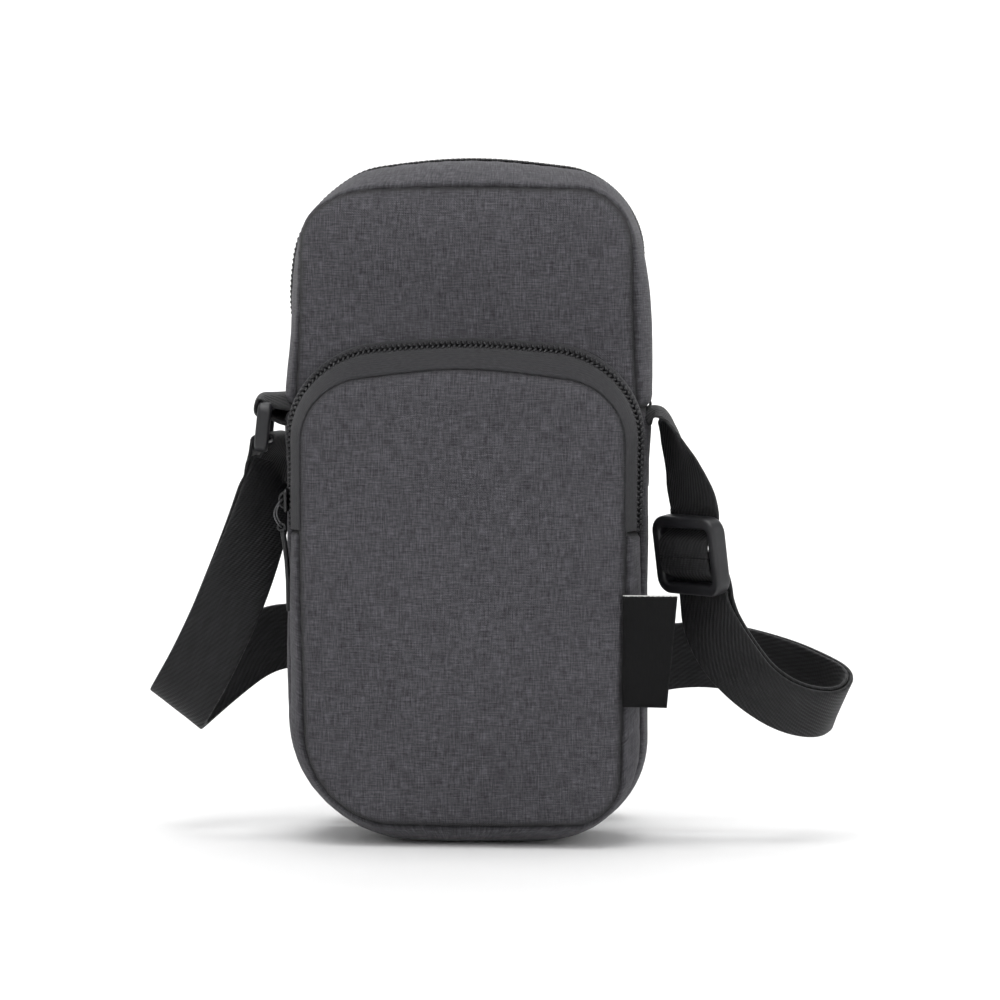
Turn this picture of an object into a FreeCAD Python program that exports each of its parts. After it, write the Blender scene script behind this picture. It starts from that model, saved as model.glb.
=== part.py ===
import FreeCAD, Part
import math
import os

import Sketcher
from FreeCAD import Placement, Rotation, Vector

# Upright pouch in millimetres. +X is the wearer's right in the front view, the front faces -Y and +Z
# is up. The origin is on the flat base, under the main compartment.

# Driving dimensions, kept in the sheet
SIZES = {
    # Main compartment: the front panel, and how far the outline swells or draws in behind it
    "pouch_width": 104.0,
    "widest_bulge": 3.5,
    "zip_inset": 1.0,
    "back_inset": 2.5,
    "pouch_height": 196.0,
    "widest_rise": 6.5,
    "zip_rise": 7.5,
    "back_rise": 3.0,
    "base_trim": 0.3,
    "top_radius": 26.0,
    "bottom_radius": 28.0,
    "main_depth": 32.0,
    "front_offset": 9.5,
    "widest_depth": 11.0,
    "zip_depth": 24.0,
    "seam_height": 130.0,
    "panel_thickness": 1.6,
    "gusset_thickness": 1.4,
    # Front pocket
    "pocket_inset": 0.5,
    "pocket_slope": 3.0,
    "pocket_height": 149.0,
    "pocket_drop": 9.0,
    "pocket_lift": 3.0,
    "pocket_radius": 30.0,
    "pocket_bottom_radius": 27.0,
    "pocket_depth": 13.0,
    "pocket_zip_depth": 3.4,
    "pocket_seam_height": 94.0,
    # Zip chain
    "tape_width": 2.4,
    "tape_thickness": 0.6,
    "coil_width": 1.0,
    "coil_slit": 1.2,
    "coil_proud": 1.0,
    "coil_under": 0.8,
    # Zip sliders
    "slider_length": 7.0,
    "slider_width": 6.0,
    "slider_under_width": 4.6,
    "slider_plate": 1.0,
    "slider_post": 0.6,
    "slider_clearance": 0.3,
    "slider_lift": 5.0,
    "bail_length": 5.0,
    "bail_width": 2.6,
    "bail_wall": 0.8,
    "bail_height": 2.4,
    # Pull loops and pullers
    "wire_thickness": 1.0,
    "wire_clearance": 0.3,
    "loop_width": 6.4,
    "loop_length": 9.0,
    "loop_radius": 2.0,
    "puller_width": 3.4,
    "puller_thickness": 1.5,
    "puller_length": 24.0,
    "puller_eye_wall": 0.7,
    # Ring, strap slider and webbing
    "webbing_width": 20.0,
    "webbing_thickness": 1.2,
    "layer_spacing": 1.8,
    "webbing_play": 0.4,
    "ring_length": 15.0,
    "ring_thickness": 4.2,
    "ring_bar": 2.6,
    "ring_radius": 2.2,
    "ring_reach": 6.2,
    "ring_depth": 12.0,
    "ring_drop": 6.0,
    "tab_play": 0.5,
    "tab_gap": 0.3,
    "glide_length": 23.0,
    "glide_thickness": 4.0,
    "glide_side": 2.6,
    "glide_bar": 3.0,
    "glide_centre_bar": 3.6,
    "glide_radius": 3.0,
    "glide_reach": 11.6,
    "glide_depth": 1.5,
    "glide_drop": 43.6,
    # Side label
    "label_length": 14.0,
    "label_height": 33.0,
    "label_low": 42.4,
    "label_layer": 0.4,
    "label_gap": 0.4,
    "label_seat": 0.8,
}

# Shares of the sizes that they follow
WINDOW_RADIUS_SHARE = 0.5
TAB_RETURN_SHARE = 0.75

# How the ring leans about the depth axis, and how the strap slider is turned about the vertical axis
# and tipped about its own bars, in degrees
RING_LEAN = 6.0
GLIDE_YAW = -43.5
GLIDE_TIP = 9.0

# Webbing routes: points of the middle line, each with the direction of the webbing's width.
# The root leaves the right cross seam and goes to the strap slider: places from the seam's front end.
ROOT_ROUTE = [
    ((0.5, 10.5, -3.0), (0.0, -1.0, 0.0)),
    ((2.7, 10.3, -0.4), (0.0, -1.0, 0.0)),
    ((5.9, 9.5, -5.4), (0.15, -1.0, 0.0)),
    ((8.2, 6.9, -15.0), (0.35, -0.9, 0.0)),
    ((10.0, 3.6, -22.5), (0.6, -0.8, 0.0)),
]
# Through the strap slider, as seen in its own frame: depth and height about its centre
GLIDE_IN_ROUTE = [(3.2, 15.0), (3.6, 10.8), (2.8, 7.2), (-2.6, 5.0), (-3.5, 2.4), (-3.5, 0.1)]
GLIDE_OUT_ROUTE = [(-3.5, -0.1), (-3.5, -2.4), (-2.6, -5.0), (2.8, -7.2), (3.6, -10.8), (3.4, -14.5)]
GLIDE_BACK_ROUTE = [(3.4, 1.0), (3.6, -2.5), (5.2, -7.0), (5.8, -10.8), (5.7, -14.5)]
# Middle line between the two layers: round the right loop, behind the pouch, and up to the ring
STRAP_ROUTE = [
    ((73.6, -1.5, 64.0), (0.85, -0.5, 0.25)),
    ((78.6, 0.3, 55.0), (0.75, -0.45, 0.48)),
    ((86.4, 1.8, 46.6), (0.54, -0.48, 0.68)),
    ((97.0, 3.4, 40.6), (0.38, -0.42, 0.82)),
    ((108.0, 6.0, 39.2), (0.34, -0.38, 0.86)),
    ((112.8, 15.0, 43.0), (0.32, -0.34, 0.88)),
    ((106.5, 25.0, 46.8), (0.26, -0.28, 0.92)),
    ((91.5, 29.2, 50.2), (0.12, -0.12, 0.98)),
    ((70.0, 30.0, 54.0), (0.0, 0.0, 1.0)),
    ((46.0, 29.5, 50.0), (-0.3, 0.0, 0.95)),
    ((22.0, 29.0, 37.0), (-0.5, 0.0, 0.85)),
    ((0.0, 29.0, 25.0), (-0.4, 0.0, 0.9)),
    ((-20.0, 29.5, 19.4), (-0.1, 0.0, 1.0)),
    ((-36.0, 30.0, 19.0), (0.0, 0.0, 1.0)),
    ((-46.0, 31.5, 19.0), (0.0, 0.0, 1.0)),
    ((-46.0, 41.0, 19.0), (0.0, 0.0, 1.0)),
    ((-36.0, 42.5, 19.0), (0.0, 0.0, 1.0)),
    ((-12.0, 42.0, 19.0), (0.0, 0.0, 1.0)),
    ((12.0, 42.6, 19.0), (0.0, 0.0, 1.0)),
    ((34.0, 42.5, 19.0), (0.0, 0.0, 1.0)),
    ((44.0, 44.0, 19.0), (0.0, 0.0, 1.0)),
    ((44.0, 53.5, 19.0), (0.0, 0.0, 1.0)),
    ((34.0, 55.0, 19.0), (0.0, 0.0, 1.0)),
    ((12.0, 54.5, 19.4), (0.0, 0.0, 1.0)),
    ((-8.0, 53.0, 23.0), (0.3, 0.0, 0.95)),
    ((-26.0, 49.0, 33.0), (0.5, 0.0, 0.85)),
    ((-42.0, 42.0, 48.5), (0.4, 0.0, 0.9)),
    ((-56.0, 34.0, 58.5), (0.0, 0.0, 1.0)),
    ((-68.0, 27.0, 56.0), (-0.4, 0.0, 0.9)),
    ((-79.5, 22.0, 47.0), (-0.7, 0.0, 0.7)),
    ((-88.6, 17.5, 38.9), (-0.75, 0.0, 0.65)),
    ((-90.6, 11.0, 36.9), (-0.8, 0.0, 0.6)),
    ((-87.2, 5.5, 41.7), (-0.8, 0.0, 0.6)),
    ((-81.2, 4.0, 52.0), (-0.85, 0.0, 0.5)),
    ((-74.0, 3.0, 67.0), (-0.9, -0.1, 0.4)),
    ((-67.6, 2.0, 83.0), (-0.85, -0.4, 0.3)),
    ((-63.6, 1.4, 97.0), (-0.4, -0.9, 0.1)),
    ((-62.2, 1.0, 108.0), (0.0, -1.0, 0.0)),
]
# Over the ring's lower bar, as seen in the ring's frame: side and height
RING_OUTER_ROUTE = [(3.3, -11.0), (3.3, -6.0), (2.7, -3.1), (0.1, -3.1)]
RING_INNER_ROUTE = [(-3.3, -11.0), (-3.3, -6.0), (-2.7, -3.1), (-0.1, -3.1)]

# Steps between two route points in the webbing solids
STEPS_PER_POINT = 3

doc = FreeCAD.newDocument("PhonePouch")
sheet = doc.addObject("Spreadsheet::Sheet", "Sizes")
for row, (alias, number) in enumerate(SIZES.items(), start=1):
    sheet.set(f"A{row}", alias)
    sheet.set(f"B{row}", str(number))
    sheet.setAlias(f"B{row}", alias)
doc.recompute()


def of(text):
    """Spell out each sheet size named in an expression, and bracket the whole."""
    words = text.replace("(", " ( ").replace(")", " ) ").split()
    return "(" + " ".join(f"Sizes.{word}" if word in SIZES else word for word in words) + ")"


def value(text):
    """Number that an expression gives now."""
    return float(sheet.evalExpression(text))


def size_of(alias):
    """Number in the sheet."""
    return float(sheet.get(alias))


# Stations from front to back
FRONT_FACE = of("0 - front_offset")
FRONT_INNER = of("panel_thickness - front_offset")
WIDEST = of("widest_depth - front_offset")
BACK_FACE = of("main_depth - front_offset")
BACK_INNER = of("main_depth - panel_thickness - front_offset")
MAIN_ZIP = of("zip_depth - front_offset")
POCKET_FACE = of("0 - front_offset - pocket_depth")
POCKET_INNER = of("panel_thickness - front_offset - pocket_depth")
POCKET_ZIP = of("0 - front_offset - pocket_zip_depth")

# Widths and heights of the outline at the stations
FRONT_WIDTH, FRONT_HEIGHT = of("pouch_width"), of("pouch_height")
WIDEST_WIDTH, WIDEST_HEIGHT = of("pouch_width + 2 * widest_bulge"), of("pouch_height + widest_rise")
ZIP_WIDTH, ZIP_HEIGHT = of("pouch_width - 2 * zip_inset"), of("pouch_height + zip_rise")
BACK_WIDTH, BACK_HEIGHT = of("pouch_width - 2 * back_inset"), of("pouch_height + back_rise")
POCKET_WIDTH, POCKET_HEIGHT = of("pouch_width - 2 * pocket_inset"), of("pocket_height")
POCKET_PANEL_WIDTH = of("pouch_width - 2 * pocket_inset - 2 * pocket_slope")
POCKET_PANEL_HEIGHT = of("pocket_height - pocket_drop")

CHAIN_HALF = of("coil_slit / 2 + coil_width")
SLIT_HALF = of("coil_slit / 2")
TAPE_WIDTH = of("tape_width")


def less(first, second):
    """Expression for a difference."""
    return f"({first} - {second})"


def plus(first, second):
    """Expression for a sum."""
    return f"({first} + {second})"


def half(text):
    """Expression for one half."""
    return f"({text} / 2)"


def minus(text):
    """Expression for the opposite."""
    return f"(0 - {text})"


MAIN_TAPE_FRONT_EDGE = less(less(MAIN_ZIP, CHAIN_HALF), TAPE_WIDTH)
MAIN_TAPE_REAR_EDGE = plus(plus(MAIN_ZIP, CHAIN_HALF), TAPE_WIDTH)
POCKET_TAPE_EDGE = less(POCKET_ZIP, CHAIN_HALF)


def new_body(label):
    """Empty body with its label."""
    body = doc.addObject("PartDesign::Body", label)
    body.Label = label
    return body


def new_sketch(body, role, offset):
    """Sketch on one of the body's own origin planes, moved along that plane's normal."""
    plane = next(feature for feature in body.Origin.OriginFeatures if feature.Role == role)
    sketch = body.newObject("Sketcher::SketchObject", f"{body.Label}_sketch")
    sketch.AttachmentSupport = [(plane, "")]
    sketch.MapMode = "FlatFace"
    sketch.setExpression("AttachmentOffset.Base.z", offset)
    return sketch


def facing(offset):
    """Offset of a sketch on the XZ plane, whose normal points to the front."""
    return minus(offset)


def bind(sketch, kind, where, expression):
    """Dimension a sketch element and tie it to an expression."""
    index = sketch.addConstraint(Sketcher.Constraint(kind, *where, value(expression)))
    name = f"{kind.lower()}_{index}"
    sketch.renameConstraint(index, name)
    sketch.setExpression(f"Constraints.{name}", expression)


def line(sketch, start, end):
    """Straight line between two points."""
    return sketch.addGeometry(Part.LineSegment(Vector(*start, 0), Vector(*end, 0)), False)


def corner(sketch, centre, radius, start, end):
    """Arc about a centre, counter-clockwise between two angles in quarter turns."""
    circle = Part.Circle(Vector(*centre, 0), Vector(0, 0, 1), radius)
    quarter = math.pi / 2
    return sketch.addGeometry(Part.ArcOfCircle(circle, start * quarter, end * quarter), False)


def close_loop(sketch, edges):
    """Join edges end to end, tangent wherever an arc is met."""
    arcs = {edge for edge in edges if isinstance(sketch.Geometry[edge], Part.ArcOfCircle)}
    ends = [(a, b) for a in (1, 2) for b in (1, 2)]
    for first, second in zip(edges, edges[1:] + edges[:1]):
        gaps = [(sketch.getPoint(first, a) - sketch.getPoint(second, b)).Length for a, b in ends]
        near = ends[gaps.index(min(gaps))]
        kind = "Tangent" if arcs & {first, second} else "Coincident"
        sketch.addConstraint(Sketcher.Constraint(kind, first, near[0], second, near[1]))


def rounded_rectangle(sketch, left, right, low, high, low_radius, high_radius):
    """Rectangle with round corners, each argument an expression."""
    x0, x1, y0, y1 = value(left), value(right), value(low), value(high)
    r0, r1 = value(low_radius), value(high_radius)
    edges = [
        line(sketch, (x0 + r0, y0), (x1 - r0, y0)),
        corner(sketch, (x1 - r0, y0 + r0), r0, 3, 4),
        line(sketch, (x1, y0 + r0), (x1, y1 - r1)),
        corner(sketch, (x1 - r1, y1 - r1), r1, 0, 1),
        line(sketch, (x1 - r1, y1), (x0 + r1, y1)),
        corner(sketch, (x0 + r1, y1 - r1), r1, 1, 2),
        line(sketch, (x0, y1 - r1), (x0, y0 + r0)),
        corner(sketch, (x0 + r0, y0 + r0), r0, 2, 3),
    ]
    close_loop(sketch, edges)
    for edge, kind in zip(edges[::2], ("Horizontal", "Vertical", "Horizontal", "Vertical")):
        sketch.addConstraint(Sketcher.Constraint(kind, edge))
    for edge, kind, expression in zip(edges[::2], ("DistanceY", "DistanceX") * 2, (low, right, high, left)):
        bind(sketch, kind, (-1, 1, edge, 1), expression)
    for edge, expression in zip(edges[1::2], (low_radius, high_radius, high_radius, low_radius)):
        bind(sketch, "Radius", (edge,), expression)


def round_hole(sketch, across, up, radius):
    """Circle, each argument an expression."""
    circle = Part.Circle(Vector(value(across), value(up), 0), Vector(0, 0, 1), value(radius))
    edge = sketch.addGeometry(circle, False)
    bind(sketch, "DistanceX", (-1, 1, edge, 3), across)
    bind(sketch, "DistanceY", (-1, 1, edge, 3), up)
    bind(sketch, "Radius", (edge,), radius)


def polygon(sketch, points):
    """Closed polygon whose corners are pairs of expressions."""
    places = [(value(x), value(y)) for x, y in points]
    edges = [line(sketch, start, end) for start, end in zip(places, places[1:] + places[:1])]
    close_loop(sketch, edges)
    for edge, (x, y) in zip(edges, points):
        bind(sketch, "DistanceX", (-1, 1, edge, 1), x)
        bind(sketch, "DistanceY", (-1, 1, edge, 1), y)


def arch(sketch, width, end, crown, radius, rise, wall):
    """Arched band: two legs from the end level and a round-cornered crown, above or below it."""
    w, e, c, r, t = value(half(width)), value(end), value(crown), value(radius), value(wall)
    s = 1 if c > e else -1
    quarters = ((1, 2), (0, 1)) if s > 0 else ((2, 3), (3, 4))
    shoulder = c - s * r
    edges = [
        line(sketch, (-w, e), (-w, shoulder)),
        corner(sketch, (r - w, shoulder), r, *quarters[0]),
        line(sketch, (r - w, c), (w - r, c)),
        corner(sketch, (w - r, shoulder), r, *quarters[1]),
        line(sketch, (w, shoulder), (w, e)),
        line(sketch, (w, e), (w - t, e)),
        line(sketch, (w - t, e), (w - t, shoulder)),
        corner(sketch, (w - r, shoulder), r - t, *quarters[1]),
        line(sketch, (w - r, c - s * t), (r - w, c - s * t)),
        corner(sketch, (r - w, shoulder), r - t, *quarters[0]),
        line(sketch, (t - w, shoulder), (t - w, e)),
        line(sketch, (t - w, e), (-w, e)),
    ]
    close_loop(sketch, edges)
    upright = (0, 4, 6, 10)
    for place, edge in enumerate(edges):
        if place in upright:
            sketch.addConstraint(Sketcher.Constraint("Vertical", edge))
        elif place in (2, 5, 8, 11):
            sketch.addConstraint(Sketcher.Constraint("Horizontal", edge))
    inner_half = less(half(width), wall)
    bind(sketch, "DistanceX", (-1, 1, edges[0], 1), minus(half(width)))
    bind(sketch, "DistanceX", (-1, 1, edges[4], 1), half(width))
    bind(sketch, "DistanceX", (-1, 1, edges[6], 1), inner_half)
    bind(sketch, "DistanceX", (-1, 1, edges[10], 1), minus(inner_half))
    bind(sketch, "DistanceY", (-1, 1, edges[0], 1), end)
    bind(sketch, "DistanceY", (-1, 1, edges[5], 1), end)
    bind(sketch, "DistanceY", (-1, 1, edges[2], 1), crown)
    bind(sketch, "DistanceY", (-1, 1, edges[8], 1), less(crown, wall) if rise else plus(crown, wall))
    for place in (1, 3):
        bind(sketch, "Radius", (edges[place],), radius)
    for place in (7, 9):
        bind(sketch, "Radius", (edges[place],), less(radius, wall))


def pad(body, sketch, length):
    """Pad a sketch along its normal."""
    feature = body.newObject("PartDesign::Pad", f"{body.Label}_pad")
    feature.Profile = sketch
    feature.setExpression("Length", length)
    doc.recompute()
    return feature


def panel(label, rear, front, width, low, high, low_radius, high_radius):
    """Flat cloth panel between two stations."""
    body = new_body(label)
    sketch = new_sketch(body, "XZ_Plane", facing(rear))
    rounded_rectangle(sketch, minus(half(width)), half(width), low, high, low_radius, high_radius)
    pad(body, sketch, less(rear, front))
    return body


def band(label, stations, end, radius, rise, wall):
    """Arched cloth band lofted through stations, each a depth with the outline's width and crown there."""
    body = new_body(label)
    sketches = []
    for depth, width, crown in stations:
        sketch = new_sketch(body, "XZ_Plane", facing(depth))
        arch(sketch, width, end, crown, radius, rise, wall)
        sketches.append(sketch)
    doc.recompute()
    loft = body.newObject("PartDesign::AdditiveLoft", f"{label}_loft")
    loft.Profile = sketches[0]
    loft.Sections = sketches[1:]
    loft.Ruled = True
    doc.recompute()
    return body


def stand_flat(body):
    """Cut off what lies below the base, so that the body stands on a flat face."""
    side = of("pouch_width / 2 + widest_bulge")
    sketch = new_sketch(body, "XY_Plane", "0")
    polygon(sketch, [(minus(side), FRONT_FACE), (side, FRONT_FACE),
                     (side, BACK_FACE), (minus(side), BACK_FACE)])
    feature = body.newObject("PartDesign::Pocket", f"{body.Label}_cut")
    feature.Profile = sketch
    feature.setExpression("Length", of("base_trim * 2"))
    doc.recompute()


def coil(label, rear, front, width, crown, end, radius):
    """Row of zip coil as a band that stands proud of its tape on both sides."""
    proud = of("coil_proud")
    stations = [(depth, plus(width, plus(proud, proud)), plus(crown, proud)) for depth in (rear, front)]
    return band(label, stations, end, plus(radius, proud), True, of("coil_proud + coil_under"))


def slider(label, side, width, depth, low):
    """Zip slider on a straight side of the chain: plates in and out, a post in the slit and a bail."""
    out = "+" if side > 0 else "-"
    face = half(width)

    def at(distance):
        return f"(0 {out} ({face} + {distance}))"

    body = new_body(label)
    under_low = of("0 - coil_under - slider_clearance - slider_plate")
    under_high = of("0 - coil_under - slider_clearance")
    plate_low = of("coil_proud + slider_clearance")
    plate_high = of("coil_proud + slider_clearance + slider_plate")
    wide, narrow, post = of("slider_width / 2"), of("slider_under_width / 2"), of("slider_post / 2")
    section = [(under_low, narrow), (under_high, narrow), (under_high, post),
               (plate_low, post), (plate_low, wide), (plate_high, wide)]
    sketch = new_sketch(body, "XY_Plane", low)
    polygon(sketch, [(at(x), plus(depth, y)) for x, y in section]
            + [(at(x), less(depth, y)) for x, y in reversed(section)])
    pad(body, sketch, of("slider_length"))

    middle = plus(low, of("slider_length / 2"))
    roof = plus(plate_high, of("bail_height"))
    hollow = less(roof, of("bail_wall"))
    reach, gap = of("bail_length / 2"), of("bail_length / 2 - bail_wall")
    profile = [(plate_high, reach), (roof, reach), (roof, minus(reach)), (plate_high, minus(reach)),
               (plate_high, minus(gap)), (hollow, minus(gap)), (hollow, gap), (plate_high, gap)]
    sketch = new_sketch(body, "XZ_Plane", facing(plus(depth, of("bail_width / 2"))))
    polygon(sketch, [(at(x), plus(middle, y)) for x, y in profile])
    pad(body, sketch, of("bail_width"))
    return body


def wire_middle(side, width):
    """Distance from the middle plane of the pouch to the wire in a slider's bail."""
    reach = of("coil_proud + slider_clearance + slider_plate + wire_clearance + wire_thickness / 2")
    return f"(0 {'+' if side > 0 else '-'} ({half(width)} + {reach}))"


def loop_top(low):
    """Level of the pull loop's top, hanging in the bail of a slider that starts at a level."""
    return plus(low, of("slider_length / 2 + wire_thickness / 2"))


def pull_loop(label, side, width, depth, low):
    """Wire loop that hangs from a slider's bail."""
    body = new_body(label)
    top, reach, radius = loop_top(low), of("loop_width / 2"), of("loop_radius")
    wire = of("wire_thickness")
    bottom = less(top, of("loop_length"))
    sketch = new_sketch(body, "YZ_Plane", less(wire_middle(side, width), half(wire)))
    rounded_rectangle(sketch, less(depth, reach), plus(depth, reach), bottom, top, radius, radius)
    inside, bend = less(reach, wire), less(radius, wire)
    low_edge, high_edge = plus(bottom, wire), less(top, wire)
    rounded_rectangle(sketch, less(depth, inside), plus(depth, inside), low_edge, high_edge, bend, bend)
    pad(body, sketch, wire)
    return body


def puller(label, side, width, depth, low):
    """Flat tab with an eye round the lower wire of its pull loop."""
    body = new_body(label)
    wire = of("wire_thickness")
    middle = wire_middle(side, width)
    axis = plus(less(loop_top(low), of("loop_length")), half(wire))
    rear = facing(plus(depth, of("puller_width / 2")))
    hole = of("wire_thickness / 2 + wire_clearance")
    eye = plus(hole, of("puller_eye_wall"))
    sketch = new_sketch(body, "XZ_Plane", rear)
    rounded_rectangle(sketch, less(middle, eye), plus(middle, eye), less(axis, eye), plus(axis, eye),
                      hole, hole)
    round_hole(sketch, middle, axis, hole)
    pad(body, sketch, of("puller_width"))
    thick = of("puller_thickness / 2")
    tail = less(axis, eye)
    sketch = new_sketch(body, "XZ_Plane", rear)
    polygon(sketch, [(less(middle, thick), tail), (plus(middle, thick), tail),
                     (plus(middle, thick), less(tail, of("puller_length"))),
                     (less(middle, thick), less(tail, of("puller_length")))])
    pad(body, sketch, of("puller_width"))
    return body


def ring():
    """Rectangular plastic ring about its own centre, its bars along the depth."""
    body = new_body("left_ring")
    window, high = of("webbing_width / 2 + webbing_play"), of("ring_length / 2 - ring_bar")
    wide, tall, radius = plus(window, of("ring_bar")), of("ring_length / 2"), of("ring_radius")
    bend = f"({radius} * {WINDOW_RADIUS_SHARE})"
    sketch = new_sketch(body, "YZ_Plane", of("0 - ring_thickness / 2"))
    rounded_rectangle(sketch, minus(wide), wide, minus(tall), tall, radius, radius)
    rounded_rectangle(sketch, minus(window), window, minus(high), high, bend, bend)
    pad(body, sketch, of("ring_thickness"))
    body.Placement = ring_placement
    return body


def tri_glide():
    """Three-bar strap slider about its own centre, its bars across the webbing."""
    body = new_body("tri_glide")
    window = of("webbing_width / 2 + webbing_play")
    wide, tall, radius = plus(window, of("glide_side")), of("glide_length / 2"), of("glide_radius")
    far, near = less(tall, of("glide_bar")), of("glide_centre_bar / 2")
    bend = f"({radius} * {WINDOW_RADIUS_SHARE} * {WINDOW_RADIUS_SHARE})"
    sketch = new_sketch(body, "XZ_Plane", facing(of("glide_thickness / 2")))
    rounded_rectangle(sketch, minus(wide), wide, minus(tall), tall, radius, radius)
    rounded_rectangle(sketch, minus(window), window, near, far, bend, bend)
    rounded_rectangle(sketch, minus(window), window, minus(far), minus(near), bend, bend)
    pad(body, sketch, of("glide_thickness"))
    body.Placement = glide_placement
    return body


def side_label():
    """Folded woven label at the edge of the pocket panel, its fold outwards."""
    body = new_body("side_label")
    root = plus(half(POCKET_PANEL_WIDTH), of("label_seat"))
    tip = plus(root, of("label_length"))
    middle = half(plus(POCKET_FACE, POCKET_INNER))
    inner, outer = of("label_gap / 2"), of("label_gap / 2 + label_layer")
    bend = less(tip, of("label_layer"))
    sketch = new_sketch(body, "XY_Plane", of("label_low"))
    polygon(sketch, [(root, less(middle, outer)), (tip, less(middle, outer)), (tip, plus(middle, outer)),
                     (root, plus(middle, outer)), (root, plus(middle, inner)), (bend, plus(middle, inner)),
                     (bend, less(middle, inner)), (root, less(middle, inner))])
    pad(body, sketch, of("label_height"))
    return body


def smooth(poles):
    """Clamped quadratic curve whose control points are the given ones."""
    spans = len(poles) - 2
    multiplicities = [3] + [1] * (spans - 1) + [3]
    curve = Part.BSplineCurve()
    knots = [float(knot) for knot in range(spans + 1)]
    curve.buildFromPolesMultsKnots(poles, multiplicities, knots, False, 2)
    return curve, spans


def shifted(route, distance):
    """Route moved sideways from its webbing's face by a distance."""
    moved = []
    for place, (point, across) in enumerate(route):
        before = Vector(*route[max(place - 1, 0)][0])
        after = Vector(*route[min(place + 1, len(route) - 1)][0])
        normal = (after - before).cross(Vector(*across)).normalize()
        moved.append((Vector(*point) + normal * distance, across))
    return moved


def webbing(label, route):
    """Flat webbing along a route, as a ruled skin through cross-sections."""
    centre, spans = smooth([Vector(*point) for point, across in route])
    turning = smooth([Vector(*across) for point, across in route])[0]
    wide, thick = size_of("webbing_width") / 2, size_of("webbing_thickness") / 2
    count = spans * STEPS_PER_POINT
    sections = []
    for step in range(count + 1):
        knot = spans * step / count
        middle, along = centre.value(knot), centre.tangent(knot)[0]
        face = along.cross(turning.value(knot)).normalize()
        side = face.cross(along).normalize()
        signs = ((1, 1), (-1, 1), (-1, -1), (1, -1))
        corners = [middle + side * wide * a + face * thick * b for a, b in signs]
        sections.append(Part.makePolygon(corners + corners[:1]))
    feature = doc.addObject("Part::Feature", label)
    feature.Label = label
    feature.Shape = Part.makeLoft(sections, True, True)
    feature.Placement = Placement()
    print(f"{label}: {centre.length():.0f} mm long")
    return feature


def in_ring(route):
    """Ring route points in the pouch's frame."""
    across = (0.0, -1.0, 0.0)
    return [(tuple(ring_placement.multVec(Vector(x, 0, z))), across) for x, z in route]


def in_glide(route):
    """Strap slider route points in the pouch's frame."""
    across = tuple(glide_placement.Rotation.multVec(Vector(1, 0, 0)))
    return [(tuple(glide_placement.multVec(Vector(0, y, z))), across) for y, z in route]


def from_seam(route):
    """Root route points in the pouch's frame."""
    end = Vector(value(half(WIDEST_WIDTH)), value(FRONT_FACE), size_of("seam_height"))
    return [(tuple(end + Vector(*point)), across) for point, across in route]


def tab_route():
    """Tab from the pouch's side, over and round the ring's upper bar and back, in the ring's frame."""
    bar = math.hypot(size_of("ring_thickness"), size_of("ring_bar")) / 2
    turn = bar + size_of("webbing_thickness") / 2 + size_of("tab_play")
    middle = size_of("ring_length") / 2 - size_of("ring_bar") / 2
    reach = size_of("ring_reach") - size_of("tab_gap") - turn * math.sin(math.radians(RING_LEAN))
    reach -= middle * math.sin(math.radians(RING_LEAN))
    over = [(reach, turn), (0, turn), (-turn, turn)]
    under = [(-turn, -turn), (0, -turn), (reach, -turn * TAB_RETURN_SHARE)]
    return [(side, middle + height) for side, height in over + under]


upright, depthwise, sideways = Vector(0, 0, 1), Vector(0, 1, 0), Vector(1, 0, 0)
ring_place = Vector(value(minus(half(WIDEST_WIDTH))) - size_of("ring_reach"),
                    value(FRONT_FACE) + size_of("ring_depth"),
                    size_of("seam_height") - size_of("ring_drop"))
glide_place = Vector(value(half(WIDEST_WIDTH)) + size_of("glide_reach"),
                     value(FRONT_FACE) + size_of("glide_depth"),
                     size_of("seam_height") - size_of("glide_drop"))
ring_placement = Placement(ring_place, Rotation(depthwise, RING_LEAN))
glide_placement = Placement(glide_place, Rotation(upright, GLIDE_YAW) * Rotation(sideways, GLIDE_TIP))

BASE, BELOW_BASE = "0", of("0 - base_trim")
TOP_RADIUS, BOTTOM_RADIUS = of("top_radius"), of("bottom_radius")
SEAM, POCKET_SEAM = of("seam_height"), of("pocket_seam_height")
CLOTH, TAPE = of("gusset_thickness"), of("tape_thickness")

# Main compartment, cut flat where it stands
lower_gusset = band(
    "lower_gusset",
    [(BACK_INNER, BACK_WIDTH, BELOW_BASE), (MAIN_TAPE_FRONT_EDGE, ZIP_WIDTH, BELOW_BASE),
     (WIDEST, WIDEST_WIDTH, BELOW_BASE), (FRONT_INNER, FRONT_WIDTH, BELOW_BASE)],
    SEAM, BOTTOM_RADIUS, False, CLOTH)
stand_flat(lower_gusset)
parts = [
    panel("back_panel", BACK_FACE, BACK_INNER, BACK_WIDTH, BASE, BACK_HEIGHT,
          BOTTOM_RADIUS, TOP_RADIUS),
    panel("front_panel", FRONT_INNER, FRONT_FACE, FRONT_WIDTH, BASE, FRONT_HEIGHT,
          BOTTOM_RADIUS, TOP_RADIUS),
    lower_gusset,
    band("zip_gusset_front",
         [(MAIN_TAPE_FRONT_EDGE, ZIP_WIDTH, ZIP_HEIGHT), (WIDEST, WIDEST_WIDTH, WIDEST_HEIGHT),
          (FRONT_INNER, FRONT_WIDTH, FRONT_HEIGHT)],
         SEAM, TOP_RADIUS, True, CLOTH),
    band("zip_gusset_rear",
         [(BACK_INNER, BACK_WIDTH, BACK_HEIGHT), (MAIN_TAPE_REAR_EDGE, ZIP_WIDTH, ZIP_HEIGHT)],
         SEAM, TOP_RADIUS, True, CLOTH),
]

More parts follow.
